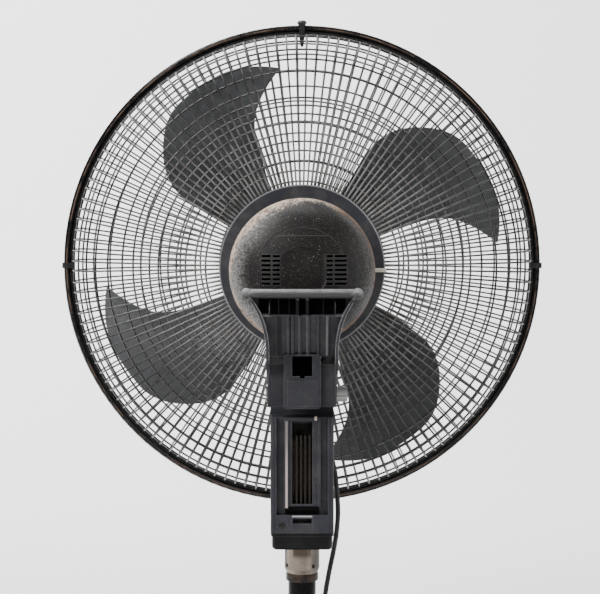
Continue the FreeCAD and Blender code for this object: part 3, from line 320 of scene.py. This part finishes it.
def moulded(name, colour, roughness, dust, grain=1.0, specular=0.45, edge_wear_and_highlight=0.8):
    """Textured moulded plastic: a fine spark-eroded grain, cloudy sheen, light dust and scuffs, painted shade
    in grooves and corners, and painted highlights on sharp edges, partly rubbed wear.
    """
    look = Look(name, colour, roughness, specular=specular)
    lighter = tuple(channel * 1.45 + 0.004 for channel in colour)
    shade_and_grime = tuple(channel * 0.22 for channel in colour)
    lit_worn_edge = tuple(channel * 2.6 + 0.06 for channel in colour)
    look.layer(look.ramp(look.noise(38, 5, 0.6), 0.40, 0.72, 0, 0.6), lighter)
    sheen = look.ramp(look.noise(16, 3, 0.5, shift=(2, 8, 4)), 0.35, 0.7)
    look.layer(sheen, roughness=roughness + 0.14)
    scratched(look)
    dusty(look, dust)
    # painted shade, with some grime: grooves and corners are darkened to a darker copy of the plastic
    look.layer(look.crevices(0.006), shade_and_grime, 0.8)
    # painted highlight on sharp edges, a lighter copy of the plastic, partly rubbed wear, broken up in
    # patches
    wear_and_highlight = look.ramp(look.noise(55, 5, 0.7), 0.30, 0.60, 0.3 * edge_wear_and_highlight, edge_wear_and_highlight)
    look.layer(look.product(look.edges(0.0007), wear_and_highlight), lit_worn_edge, 0.4)
    look.bump(look.noise(2600, 2, 0.5), 0.00005 * grain, 0.55)
    return look.bump(look.noise(60, 3, 0.5), 0.0002 * grain, 0.25)


def enamel(name, colour, roughness, coat, dust, peel=1.0, specular=0.5):
    """Stoved paint: an orange-peel ripple, uneven gloss and a thin dust film."""
    look = Look(name, colour, roughness, coat=coat, specular=specular)
    look.layer(look.ramp(look.noise(30, 4, 0.6), 0.35, 0.8, 0, 0.4), roughness=roughness + 0.14)
    dusty(look, dust)
    return look.bump(look.noise(420, 2, 0.4), 0.00004 * peel, 0.35)


def metal(name, colour, roughness, stretch, dust, rust=0.0, scale=260):
    """Bare or plated metal with drawn lines, tarnish and rust where asked."""
    look = Look(name, colour, roughness, metallic=1.0)
    tarnished = tuple(channel * 0.62 for channel in colour)
    lines = look.noise(scale, 4, 0.65, stretch=stretch)
    look.layer(look.ramp(lines, 0.3, 0.75), roughness=roughness + 0.16)
    look.layer(look.ramp(look.noise(45, 4, 0.6), 0.45, 0.75, 0, 0.5), tarnished, roughness + 0.2)
    look.bump(lines, 0.00003, 0.4)
    if rust:
        eaten = look.ramp(look.noise(150, 7, 0.72, shift=(4, 4, 9)), 0.60 - 0.08 * rust, 0.70)
        look.layer(eaten, (0.20, 0.085, 0.03), 0.9, 0.0)
    if dust:
        dusty(look, dust)
    return look


def wire_look():
    """Gloss black enamel with brownish wear, painted pale highlights on the rear spokes near the plate, and
    greyer on the front guard.
    """
    flat_start, fall, flat_level = 0.064, -0.1252, -0.0480
    look = enamel("cage_wire", (0.013, 0.012, 0.012), 0.26, 0.25, 0.25)
    wear_and_highlight = look.ramp(look.noise(85, 6, 0.7, shift=(1, 5, 2)), 0.54, 0.68)
    look.layer(wear_and_highlight, (0.045, 0.036, 0.030), 0.6)
    reach, back = look.from_axis(), look.axis("y")
    fallen = look.product(look.maths("SUBTRACT", reach, flat_start), fall)
    spokes = look.ramp(look.maths("SUBTRACT", back, look.maths("ADD", fallen, flat_level)), -0.0002, 0.0002)
    # painted highlight: the rear spokes near the plate are painted pale grey in patches
    spoke_highlight = look.product(look.ramp(reach, 0.185, 0.085), spokes)
    pale = look.ramp(look.noise(110, 5, 0.7, shift=(9, 3, 3)), 0.34, 0.56, 0.15, 1.0)
    look.layer(look.product(spoke_highlight, pale), (0.20, 0.193, 0.187), 0.38)
    patchy = look.ramp(look.noise(190, 5, 0.7), 0.52, 0.68)
    look.layer(look.product(look.ramp(reach, 0.115, 0.075), patchy), (0.13, 0.095, 0.070), 0.7)
    ahead = look.ramp(back, RIM_Y - 4 * MM, RIM_Y - 12 * MM)
    uneven = look.ramp(look.noise(60, 5, 0.7, shift=(3, 9, 1)), 0.25, 0.5, 0.55, 1.0)
    return look.layer(look.product(ahead, uneven), (0.11, 0.108, 0.105), 0.4)


def ring_look():
    """Gloss black with a broken coppery line just inside the edge."""
    look = enamel("trim_ring", (0.007, 0.007, 0.008), 0.22, 0.15, 0.08, specular=0.35)
    reach = look.from_axis()
    line = look.product(look.ramp(reach, CAGE_RADIUS - 3.4 * MM, CAGE_RADIUS - 3.0 * MM),
                        look.ramp(reach, CAGE_RADIUS - 2.0 * MM, CAGE_RADIUS - 2.4 * MM))
    broken = look.ramp(look.noise(34, 5, 0.7), 0.42, 0.58)
    return look.layer(look.product(line, broken), (0.15, 0.090, 0.062), 0.5)


def plate_look():
    """Dark blue-grey with a painted highlight along its edge and brownish scuffs."""
    look = enamel("guard_plate", (0.033, 0.0335, 0.041), 0.40, 0.1, 0.4)
    # painted highlight: a thin pale line just inside the plate's edge
    edge = look.ramp(look.from_axis(), PLATE_RADIUS - 1.6 * MM, PLATE_RADIUS - 0.7 * MM)
    look.layer(look.product(edge, 0.9), (0.30, 0.30, 0.31), 0.4)
    scuffs = look.ramp(look.noise(60, 7, 0.75, shift=(6, 2, 2)), 0.60, 0.70)
    return look.layer(look.product(scuffs, 0.6), (0.17, 0.13, 0.10), 0.8)


def module_look():
    """Dark plastic with painted black shade standing for the gap under the vent."""
    gap_foot, gap_top = AXIS.z - 0.2035, AXIS.z - 0.1960
    look = moulded("module", (0.0180, 0.0183, 0.0245), 0.42, 0.25)
    # painted shade: a black strip where the gap under the vent is
    gap_shade = look.product(look.between("z", gap_foot, gap_top), look.ramp(look.aside(), 0.0150, 0.0138))
    return look.layer(gap_shade, (0.002, 0.002, 0.002), 0.5, specular=0.1)


def cap_look():
    """Black plastic; the ring lower down, on the pole, is rusty brown."""
    ring_top = AXIS.z - 0.259
    look = moulded("cap", (0.0045, 0.0045, 0.0052), 0.30, 0.10, specular=0.2)
    patchy = look.ramp(look.noise(160, 6, 0.7), 0.35, 0.6, 0.2, 1.0)
    lower = look.ramp(look.axis("z"), ring_top, ring_top - 1 * MM)
    return look.layer(look.product(lower, patchy), (0.055, 0.036, 0.026), 0.5)


def louvre_look():
    """Black fins, brown with grime low down and between them."""
    inner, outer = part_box("vent_louvre")
    look = moulded("louvre", (0.016, 0.015, 0.014), 0.6, 0.15, specular=0.2, edge_wear_and_highlight=0.25)
    deep = look.ramp(look.axis("y"), outer.y - 1 * MM, inner.y + 2 * MM)
    low = look.ramp(look.axis("z"), AXIS.z - 0.135, AXIS.z - 0.150)
    brown = look.ramp(look.noise(70, 6, 0.7), 0.25, 0.7, 0.45, 1.0)
    look.layer(look.product(low, 0.6), (0.024, 0.020, 0.016), 0.8)
    return look.layer(look.product(deep, low, brown), (0.24, 0.180, 0.130), 0.95)


def fork_look():
    """Blue-grey plastic: a rubbed, paler handle with painted highlights on its top and round ends and painted
    shade under it, painted black shade in the recess under it, a ribbed slope drawn with painted highlights
    and painted shade lines, painted highlights along the arms' edges and painted shade in the socket.
    """
    bar_foot = AXIS.z - 0.0212
    well_foot, well_top = AXIS.z - 0.0335, AXIS.z - 0.0192
    slope_foot, slope_top = AXIS.z - 0.068, AXIS.z - 0.034
    arm_foot, arm_top = AXIS.z - 0.074, AXIS.z - 0.0235
    socket_foot, socket_top = AXIS.z - 0.0874, AXIS.z - 0.0684
    look = moulded("fork", (0.0155, 0.0157, 0.0205), 0.40, 0.22, edge_wear_and_highlight=1.0)
    back, up, side = look.axis("y"), look.axis("z"), look.aside()

    bar = look.product(look.ramp(up, bar_foot, bar_foot + 1.6 * MM), look.ramp(back, 0.0765, 0.0775))
    look.layer(look.product(bar, 0.9), (0.085, 0.086, 0.088), 0.40)
    mottled = look.ramp(look.noise(240, 5, 0.75), 0.38, 0.60)
    # paler mottled ends: a painted highlight on the round ends, broken into mottles
    look.layer(look.product(bar, look.ramp(side, 0.036, 0.045), mottled), (0.30, 0.30, 0.30), 0.6)
    # painted shade on the handle's underside
    look.layer(look.product(bar, look.facing((0, 0.2, -0.98), -0.25, 0.8)), (0.030, 0.030, 0.032), 0.5)
    # painted highlight along the handle's top, broken into stretched patches
    highlight_streaks = look.ramp(look.noise(160, 6, 0.75, stretch=(0.5, 1, 1)), 0.3, 0.62)
    look.layer(look.product(bar, look.facing((0, 0.3, 0.95), 0.35, 0.95), highlight_streaks), (0.27, 0.27, 0.27), 0.5)

    # the slope's ribbing is painted: painted highlights on the ridges, broken into patches
    slope = look.product(look.between("z", slope_foot, slope_top), look.ramp(back, 0.052, 0.054))
    for place, half, tone in ((-0.0200, 0.0008, 0.16), (-0.0037, 0.0005, 0.13), (0.0028, 0.0004, 0.10)):
        ridge_highlight = look.product(slope, look.between("x", place - half, place + half))
        wear_and_highlight = look.ramp(look.noise(120, 5, 0.7, stretch=(1, 1, 0.3)), 0.30, 0.6, 0.2, 1.0)
        look.layer(look.product(ridge_highlight, wear_and_highlight), (tone, tone, tone * 1.02), 0.5)
    # painted shade lines in the grooves between the ridges
    for place, half in ((0.0187, 0.0022), (0.0095, 0.0005), (0.0066, 0.0004), (0.0004, 0.0004),
                        (-0.0062, 0.0005), (-0.0142, 0.0006), (-0.0225, 0.0004)):
        line = look.product(slope, look.between("x", place - half, place + half))
        look.layer(look.product(line, 0.85), (0.006, 0.006, 0.007), 0.7)

    # painted shade: the recess behind the handle is painted near black
    well_shade = look.product(look.between("y", 0.0730, 0.0779, 0.0002), look.between("z", well_foot, well_top))
    look.layer(look.product(well_shade, look.ramp(side, 0.0365, 0.0340)), (0.002, 0.002, 0.002), 0.7, specular=0.02)
    # painted shade: the back of the recess and its ribbing are painted dark
    rib_shade = (0.010, 0.010, 0.010)
    look.layer(look.product(well_shade, look.ramp(back, 0.0764, 0.0765)), rib_shade, 0.6, specular=0.1)
    shaded_ribs = look.product(look.between("y", 0.0765, 0.0850), look.ramp(side, 0.0310, 0.0300),
                        look.between("z", well_foot + 0.3 * MM, bar_foot - 0.4 * MM))
    look.layer(shaded_ribs, rib_shade, 0.6, specular=0.1)

    # painted highlights along the arms' edges
    arms = look.product(look.between("z", arm_foot, arm_top), look.ramp(side, 0.0262, 0.0268))
    uneven = look.ramp(look.noise(90, 5, 0.7), 0.25, 0.55, 0.35, 1.0)
    look.layer(look.product(arms, look.edges(0.0011, 0.99, 0.86), uneven), (0.36, 0.36, 0.37), 0.4)

    # painted shade inside the socket
    socket = look.product(look.between("z", socket_foot, socket_top, 0.0001), look.ramp(back, 0.0590, 0.0586),
                          look.ramp(side, 0.0084, 0.0083), look.ramp(back, 0.0485, 0.0495))
    return look.layer(socket, (0.001, 0.001, 0.001), 0.8, specular=0.02)


def tower_look():
    """Blue-grey plastic with painted shade lines for grooves down each side and a painted highlight along the
    lip over the slot.
    """
    lip_foot, lip_top = AXIS.z - 0.2046, AXIS.z - 0.2034
    frame_foot, frame_top = AXIS.z - 0.2160, AXIS.z - 0.2040
    look = moulded("tower", (0.0200, 0.0204, 0.0280), 0.42, 0.22)
    side, rear = look.aside(), look.ramp(look.axis("y"), 0.036, 0.038)
    # painted shade: a thin dark line down each side standing for a groove
    groove_shade = look.product(look.ramp(side, 0.0229, 0.0231), look.ramp(side, 0.0237, 0.0235), rear)
    look.layer(look.product(groove_shade, 0.8), (0.004, 0.004, 0.005), 0.6)
    frame_sides = look.product(look.between("z", frame_foot, frame_top), look.ramp(side, 0.0086, 0.0087),
                               look.ramp(side, 0.0092, 0.0091), rear)
    look.layer(frame_sides, (0.055, 0.055, 0.060), 0.5)
    # painted highlight: a bright line along the lip over the slot
    lip_highlight = look.product(look.between("z", lip_foot, lip_top, 0.0002), look.ramp(side, 0.0086, 0.0082), rear)
    return look.layer(lip_highlight, (0.46, 0.46, 0.45), 0.35)


def strip_look():
    """A dark trim with one thin pale pinkish line, brighter low down."""
    look = moulded("strip", (0.030, 0.029, 0.033), 0.36, 0.2, edge_wear_and_highlight=0.3)
    low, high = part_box("side_strip")
    line = look.between("x", low.x + 0.4 * MM, low.x + 2.2 * MM, 0.0002)
    look.layer(line, (0.24, 0.215, 0.21), 0.36)
    lower = look.ramp(look.axis("z"), high.z - 10 * MM, low.z + 30 * MM)
    return look.layer(look.product(line, lower), (0.52, 0.43, 0.40), 0.35)


def motor_look():
    """Charcoal enamel, speckled with dust, with wear to tan on the dome's shoulder and a painted grey sheen
    strongest at the left.
    """
    look = Look("motor_cover", (0.0100, 0.0086, 0.0082), 0.46, specular=0.32)
    reach, across, side = look.from_axis(), look.axis("x"), look.aside()
    back = look.ramp(look.axis("y"), 0.027, 0.036)
    grain = look.noise(520, 6, 0.85)
    wander = look.maths("ADD", look.ramp(look.noise(26, 5, 0.65), 0.2, 0.8, -0.0035, 0.0035),
                        look.ramp(grain, 0.3, 0.7, -0.0030, 0.0030))
    edge = look.maths("ADD", reach, wander)
    up = look.ramp(look.axis("z"), AXIS.z - 0.045, AXIS.z + 0.040)
    raised = look.maths("ADD", look.product(up, 0.55), 0.45)
    corner = look.product(look.ramp(across, -0.058, 0.016), raised)

    # painted grey sheen, strongest at the left: a painted highlight mixed with a speckled dust film
    band = look.maths("MAXIMUM", look.ramp(across, 0.010, 0.046),
                      look.ramp(across, -0.036, -0.056, 0.0, 0.34))
    sided = look.maths("ADD", look.product(band, 0.95), 0.05)
    speckled = look.ramp(grain, 0.40, 0.58, 0.25, 1.0)
    sheen = look.product(look.ramp(edge, 0.0415, 0.0575), back, sided, speckled)
    look.layer(sheen, (0.32, 0.315, 0.308), 0.5)

    # the worn shoulder: tan, then cream at the upper left, then rust spots
    start = look.ramp(corner, 0.0, 1.0, 0.0591, 0.0560)
    wear_and_highlight = look.product(look.maths("DIVIDE", look.maths("SUBTRACT", edge, start), 0.0014), back)
    patchy = look.ramp(look.noise(70, 7, 0.75, shift=(3, 3, 3)), 0.34, 0.52, 0.15, 1.0)
    wear_and_highlight = look.product(look.ramp(wear_and_highlight, 0.0, 1.0), patchy)
    stronger = look.maths("ADD", look.product(corner, 0.4), 0.6)
    look.layer(look.product(wear_and_highlight, stronger), (0.27, 0.165, 0.10), 0.75)
    cream = look.product(wear_and_highlight, look.ramp(corner, 0.20, 0.65), look.ramp(grain, 0.38, 0.52))
    look.layer(cream, (0.66, 0.54, 0.43), 0.8)
    rust = look.ramp(look.noise(170, 6, 0.8, shift=(7, 1, 5)), 0.52, 0.60)
    look.layer(look.product(wear_and_highlight, rust), (0.09, 0.045, 0.026), 0.9)

    # dust: a film, fine specks and coarse specks
    film = look.ramp(look.noise(75, 6, 0.75, shift=(2, 0, 6)), 0.50, 0.80, 0, 0.30)
    look.layer(film, (0.058, 0.047, 0.041), 0.8)
    fine = look.product(look.grains(760, 0.24), look.ramp(look.noise(120, 4, 0.7), 0.30, 0.55), 0.6)
    look.layer(fine, (0.26, 0.24, 0.225), 0.9)
    coarse = look.product(look.grains(330, 0.13, (4, 2, 8)), look.ramp(look.noise(60, 4), 0.42, 0.62), 0.75)
    look.layer(coarse, (0.52, 0.49, 0.45), 0.9)

    # the groove's circle, a short bar above it and the bars of the vents
    ring = look.maths("ABSOLUTE", look.maths("SUBTRACT", reach, 0.037))
    look.layer(look.product(look.ramp(ring, 0.0007, 0.0003), back, 0.6), (0.060, 0.058, 0.056), 0.5)
    bar = look.product(look.between("z", AXIS.z + 0.0298, AXIS.z + 0.0304, 0.0002),
                       look.ramp(side, 0.023, 0.019), back)
    look.layer(look.product(bar, 0.45), (0.11, 0.105, 0.10), 0.5)
    # painted light: the vents are painted lighter over their dark slots and bars, and the bars' edges get
    # painted highlights
    vents = look.product(look.between("z", AXIS.z - 0.0108, AXIS.z + 0.0153, 0.0004), back,
                         look.between("x", -0.0365, 0.0335, 0.0004), look.ramp(side, 0.0168, 0.0176))
    look.layer(look.product(vents, 0.7), (0.030, 0.029, 0.028), 0.5)
    look.layer(look.product(vents, look.edges(0.0006), 0.8), (0.10, 0.098, 0.096), 0.5)

    look.bump(look.noise(900, 4, 0.7), 0.00012, 0.7)
    return look.bump(look.product(wear_and_highlight, look.noise(500, 4, 0.7)), 0.0002, 0.7)


def blade_look():
    """Satin blue-grey plastic, lighter and blotched where grey dust has stuck."""
    look = Look("blade", (0.054, 0.057, 0.060), 0.40, specular=0.42)
    cloud = look.ramp(look.noise(22, 6, 0.65), 0.35, 0.72)
    look.layer(cloud, (0.085, 0.089, 0.092), 0.50)
    dark = look.ramp(look.noise(34, 6, 0.7, shift=(8, 1, 3)), 0.52, 0.72, 0, 0.7)
    look.layer(dark, (0.028, 0.029, 0.031), 0.5)
    streak = look.ramp(look.noise(120, 4, 0.7, stretch=(1, 0.4, 1), shift=(1, 1, 1)), 0.56, 0.72, 0, 0.35)
    look.layer(streak, (0.16, 0.155, 0.145), 0.8)
    look.layer(look.product(look.grains(420, 0.15), 0.35), (0.22, 0.21, 0.20), 0.9)
    return look.bump(look.noise(300, 4, 0.6), 0.00006, 0.5)


def collar_look():
    """Satin nickel, dark at its sides, brown-stained at its top and rusty round the screw holes."""
    look = metal("collar", (0.29, 0.248, 0.208), 0.22, (0.08, 0.08, 1), 0.0, 0.0, 900)
    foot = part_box("height_collar")[0].z
    up, across = look.axis("z"), look.axis("x")
    stain = look.product(look.ramp(up, foot + 13 * MM, foot + 18 * MM),
                         look.ramp(look.aside(), 0.0085, 0.0070))
    look.layer(look.product(stain, 0.85), (0.095, 0.074, 0.060), 0.5)
    shade = look.maths("MAXIMUM", look.ramp(across, -0.005, -0.0145, 0.0, 0.85),
                       look.ramp(across, 0.0122, 0.0142))
    look.layer(shade, (0.050, 0.045, 0.041), 0.4, 0.0, 0.1)
    rust = look.ramp(look.noise(240, 6, 0.75), 0.60, 0.70)
    return look.layer(look.product(rust, look.ramp(up, foot + 10 * MM, foot)), (0.26, 0.10, 0.035), 0.9, 0.0)


# slot: maker, colour, roughness and the maker's other settings
PLAIN = {
    "clip": (enamel, (0.014, 0.014, 0.015), 0.3, 0.3, 0.5),
    "panel": (moulded, (0.0190, 0.0192, 0.0250), 0.42, 0.25),
    "latch": (moulded, (0.50, 0.44, 0.38), 0.4, 0.3),
    "lock_pin": (moulded, (0.66, 0.60, 0.50), 0.45, 0.3),
    "knob": (moulded, (0.016, 0.016, 0.018), 0.4, 0.4),
    "nut": (moulded, (0.020, 0.020, 0.022), 0.45, 0.3),
    "spinner": (enamel, (0.011, 0.011, 0.013), 0.28, 0.1, 0.15, 1.0, 0.3),
    "badge": (moulded, (0.015, 0.016, 0.019), 0.3, 0.12, 1.0, 0.25),
    "key": (moulded, (0.42, 0.43, 0.44), 0.35, 0.4),
    "electrical": (moulded, (0.12, 0.10, 0.08), 0.5, 0.2),
    "capacitor": (moulded, (0.50, 0.50, 0.48), 0.35, 0.2),
    "gearbox": (moulded, (0.06, 0.06, 0.058), 0.45, 0.2),
    "crank": (moulded, (0.60, 0.58, 0.53), 0.4, 0.3),
    "pad": (moulded, (0.020, 0.020, 0.020), 0.75, 0.5, 2.0, 0.25),
    "plug": (moulded, (0.016, 0.016, 0.017), 0.5, 0.3),
    "cord": (moulded, (0.012, 0.012, 0.013), 0.38, 0.25, 0.6),
    "pole": (enamel, (0.003, 0.003, 0.0035), 0.12, 0.0, 0.06, 0.6, 0.10),
    "base_cover": (enamel, (0.009, 0.0092, 0.0105), 0.24, 0.15, 0.12),
    "base_weight": (enamel, (0.05, 0.05, 0.05), 0.6, 0.0, 0.5, 3.0),
    "post": (enamel, (0.03, 0.03, 0.033), 0.5, 0.0, 0.5, 4.0),
    "wing": (enamel, (0.50, 0.50, 0.49), 0.3, 0.2, 0.3),
    "inner_pole": (metal, (0.50, 0.50, 0.51), 0.2, (1, 1, 0.05), 0.1),
    "steel": (metal, (0.56, 0.56, 0.57), 0.22, (1, 0.05, 1), 0.1),
    "pin_steel": (metal, (0.45, 0.45, 0.46), 0.32, (0.1, 1, 1), 0.2, 0.2),
    "link": (metal, (0.50, 0.50, 0.50), 0.35, (0.2, 1, 1), 0.2, 0.2),
    "screw": (metal, (0.06, 0.057, 0.054), 0.45, (1, 1, 1), 0.2, 0.8),
    "plug_pin": (metal, (0.74, 0.70, 0.58), 0.2, (0.1, 1, 1), 0.0),
    "bush": (metal, (0.60, 0.42, 0.20), 0.35, (1, 1, 1), 0.1),
    "winding": (metal, (0.05, 0.024, 0.014), 0.5, (1, 0.2, 1), 0.3),
    "lamination": (metal, (0.12, 0.115, 0.11), 0.5, (0.05, 6, 0.05), 0.1, 0.3),
}
OWN = {
    "cage_wire": wire_look, "trim_ring": ring_look, "guard_plate": plate_look, "motor_cover": motor_look,
    "blade": blade_look, "tower": tower_look, "fork": fork_look, "module": module_look, "cap": cap_look,
    "louvre": louvre_look, "strip": strip_look, "collar": collar_look,
}


def make_materials():
    """One finished material for each of the record's slots."""
    looks = {slot: make() for slot, make in OWN.items()}
    looks.update((slot, make(slot, *settings)) for slot, (make, *settings) in PLAIN.items())
    return looks


# ------------------------------------------------------------------ mesh helpers

def mesh_piece(name, vertices, faces, slot, body):
    mesh = bpy.data.meshes.new(name)
    mesh.from_pydata([tuple(vertex) for vertex in vertices], [], faces)
    mesh.validate()
    for polygon in mesh.polygons:
        polygon.use_smooth = True
    mesh.materials.append(LOOKS[slot].material)
    piece = bpy.data.objects.new(name, mesh)
    bpy.context.scene.collection.objects.link(piece)
    if body:
        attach(piece, body)
    return piece


def sweep(points, radius, sides, closed=False):
    """Vertices and faces of a round tube along points."""
    vertices, faces = [], []
    count = len(points)
    side = None
    for index, point in enumerate(points):
        before = points[index - 1] if index or closed else point
        after = points[(index + 1) % count] if index < count - 1 or closed else point
        heading = (after - before).normalized()
        if side is None:
            side = heading.orthogonal().normalized()
        side = (side - heading * side.dot(heading)).normalized()
        across = heading.cross(side)
        for number in range(sides):
            angle = 2 * math.pi * number / sides
            vertices.append(point + (side * math.cos(angle) + across * math.sin(angle)) * radius)
    for index in range(count if closed else count - 1):
        start, end = index * sides, (index + 1) % count * sides
        for number in range(sides):
            onward = (number + 1) % sides
            faces.append((start + number, start + onward, end + onward, end + number))
    if not closed:
        faces.append(tuple(reversed(range(sides))))
        faces.append(tuple(range((count - 1) * sides, count * sides)))
    return vertices, faces


def merged(parts):
    """Joins several (vertices, faces) into one."""
    vertices, faces = [], []
    for some, theirs in parts:
        base = len(vertices)
        vertices.extend(some)
        faces.extend(tuple(index + base for index in face) for face in theirs)
    return vertices, faces


# ------------------------------------------------------------------ cord

ROUTE_MM = [
    (-25, -36, 336), (-29, -37, 322.5), (-30.8, -36.6, 303), (-32.3, -36, 283), (-30, -36, 258),
    (-24.5, -37, 232), (-20, -39.5, 206), (-18.5, -44, 180), (-21, -51, 154), (-29, -60, 129),
    (-42, -70, 107), (-60, -81, 84), (-81, -91, 62), (-104, -99, 43), (-128, -106, 32.5),
    (-151, -111, 29.5), (-172, -115, 25), (-190, -118, 12.5), (-210, -120.2, 4), (-233, -120.4, 2.6),
    (-256.5, -119.4, 2.6),
]
CORD_RADIUS = 2.3 * MM
COIL_SLOTS = [(1, 0), (0, 0), (-1, 0), (-1, 1), (-1, 2), (0, 2), (0, 1), (1, 1)]


def coil_points():
    """The put-away turns: each turn moves on to the next place in a three by three bundle."""
    low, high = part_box("cord_coil")
    centre = (low + high) / 2
    pitch = 2 * CORD_RADIUS
    mean = (high.x - low.x) / 2 - 1.5 * pitch
    start = math.radians(75)
    finish = math.radians(270) + 2 * math.pi * (len(COIL_SLOTS) - 1)
    steps, crossing, lift = 118, 0.25, 0.0002
    points = []
    for step in range(steps + 1):
        angle = start + (finish - start) * step / steps
        turn = (angle - start) / (2 * math.pi)
        number = min(int(turn), len(COIL_SLOTS) - 1)
        onward = min(number + 1, len(COIL_SLOTS) - 1)
        share = max(0.0, (turn - number - (1 - crossing)) / crossing)
        share = share * share * (3 - 2 * share)
        column = COIL_SLOTS[number][0] * (1 - share) + COIL_SLOTS[onward][0] * share
        layer = COIL_SLOTS[number][1] * (1 - share) + COIL_SLOTS[onward][1] * share
        reach = mean + column * pitch
        points.append(Vector((centre.x + reach * math.cos(angle), centre.y + reach * math.sin(angle),
                              CORD_RADIUS + lift + layer * pitch)))
    return points


def make_cord():
    """One smooth line from the strain relief down to the base, the coil and the plug."""
    plug_low, plug_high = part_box("plug")
    entry = Vector((plug_low.x, (plug_low.y + plug_high.y) / 2, (plug_low.z + plug_high.z) / 2))
    route = [Vector(point) * MM for point in ROUTE_MM] + coil_points()
    route += [entry + Vector((-0.004, 0, 0)), entry + Vector((0.002, 0, 0))]
    data = bpy.data.curves.new("cord_route", "CURVE")
    data.dimensions = "3D"
    spline = data.splines.new("NURBS")
    spline.points.add(len(route) - 1)
    for point, place in zip(spline.points, route):
        point.co = (*place, 1)
    spline.order_u = 3
    spline.use_endpoint_u = True
    data.resolution_u = 6
    holder = bpy.data.objects.new("cord_route", data)
    bpy.context.scene.collection.objects.link(holder)
    bpy.context.view_layer.update()
    line = bpy.data.meshes.new_from_object(holder)
    path = [vertex.co.copy() for vertex in line.vertices]
    bpy.data.objects.remove(holder)
    bpy.data.meshes.remove(line)
    vertices, faces = sweep(path, CORD_RADIUS, 12)
    cord = mesh_piece("mains_cord", vertices, faces, "cord", None)
    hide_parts("power_cord", "cord_coil")
    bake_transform(cord)


# ------------------------------------------------------------------ wire guards

SPOKES = 136
WIRE = 0.75 * MM          # radius of the bare wire, which spaces the layers
ENAMELLED = 0.86 * MM     # radius as drawn
RIM_WIRE, RIM_RADIUS = 2 * MM, 0.214
FRONT_RIM_Y, REAR_RIM_Y = -0.1155, -0.1075
FRONT_BEND, REAR_BEND = 0.040, 0.0385
REAR_RINGS = (0.086, 0.095, 0.104, 0.112, 0.1195, 0.1285, 0.1366, 0.144, 0.151, 0.161)
FRONT_RINGS = (0.060, 0.079, 0.098, 0.117, 0.136, 0.155)
REAR_TURNS = (3.1, 20.6, 36.5, 55, 84)      # degrees round the bend
FRONT_TURNS = (20, 45, 68)


def guard_profile(front):
    """The wire's line in (radius, y): a flat run, a bend, then straight to the rim."""
    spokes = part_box("front_guard_spokes" if front else "rear_guard_spokes")
    lean = 1 if front else -1
    rim_end = spokes[1].x - ENAMELLED
    inner = Vector((0.043, -0.171)) if front else Vector((0.064, -0.047))
    corner = Vector((rim_end, -0.155 if front else -0.0654))
    bend = FRONT_BEND if front else REAR_BEND
    straight_steps, bend_steps = 6, 10
    flat, down = (corner - inner).normalized(), Vector((0, lean))
    reach = bend * math.tan(flat.angle(down) / 2)
    first, last = corner - flat * reach, corner + down * reach
    centre = last - Vector((bend, 0))
    end = Vector((rim_end, FRONT_RIM_Y if front else REAR_RIM_Y))
    turn = flat.angle(down)
    points = [inner.lerp(first, step / straight_steps) for step in range(straight_steps + 1)]
    for step in range(1, bend_steps + 1):
        angle = turn * step / bend_steps
        points.append(centre + Matrix.Rotation(lean * angle, 2) @ (first - centre))
    if (end - last).dot(down) > 0:
        points.append(end)
    return points, centre, first, inner


def around(point, angle):
    """A (radius, y) point turned round the fan's axis."""
    return Vector((point.x * math.cos(angle), point.y, AXIS.z + point.x * math.sin(angle)))


def ring_line(radius, level, steps, wobble=0.0, seed=0):
    """A closed ring of wire round the fan's axis, a little out of true."""
    chance = random.Random(seed)
    phase = chance.uniform(0, 6)
    points = []
    for step in range(steps):
        angle = 2 * math.pi * step / steps
        waver = wobble * math.sin(3 * angle + phase)
        points.append(around(Vector((radius + waver, level)), angle))
    return points


def make_guard(front):
    """Radial wires, and ring wires that sink a little into them where they cross."""
    name = "front" if front else "rear"
    profile, centre, first, inner = guard_profile(front)
    lean = 1 if front else -1
    chance = random.Random(3 if front else 7)
    parts = []
    for number in range(SPOKES):
        angle = 2 * math.pi * (number + 0.5 + chance.uniform(-0.07, 0.07)) / SPOKES
        parts.append(sweep([around(point, angle) for point in profile], ENAMELLED, 7))
    spokes = mesh_piece(f"{name}_radial_wires", *merged(parts), "cage_wire", "head")
    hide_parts(f"{name}_guard_spokes")

    drop = 2 * WIRE
    slope = (first.y - inner.y) / (first.x - inner.x)
    flat = FRONT_RINGS if front else REAR_RINGS
    turns = FRONT_TURNS if front else REAR_TURNS
    rings = [(radius, inner.y + slope * (radius - inner.x) + lean * drop) for radius in flat]
    bend = (FRONT_BEND if front else REAR_BEND) - drop
    for turn in turns:
        angle = math.radians(turn)
        rings.append((centre.x + bend * math.sin(angle), centre.y - lean * bend * math.cos(angle)))
    parts = [sweep(ring_line(radius, level, 180, 0.0002, number), ENAMELLED, 8, True)
             for number, (radius, level) in enumerate(rings)]
    rim_level = FRONT_RIM_Y if front else REAR_RIM_Y
    parts.append(sweep(ring_line(RIM_RADIUS, rim_level, 200), RIM_WIRE, 12, True))
    wires = mesh_piece(f"{name}_ring_wires", *merged(parts), "cage_wire", "head")
    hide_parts(f"{name}_guard_rings")


# ------------------------------------------------------------------ the scene

def dress_nodes():
    """Gives each CAD node its slot's finished material."""
    for entry in frame["record"]["subparts"]:
        node = nodes[entry["node"]]
        node.data.materials.clear()
        node.data.materials.append(LOOKS[entry["material_slot"]].material)


make_camera()
LOOKS = make_materials()
make_cord()
make_guard(False)
make_guard(True)
dress_nodes()
make_studio()
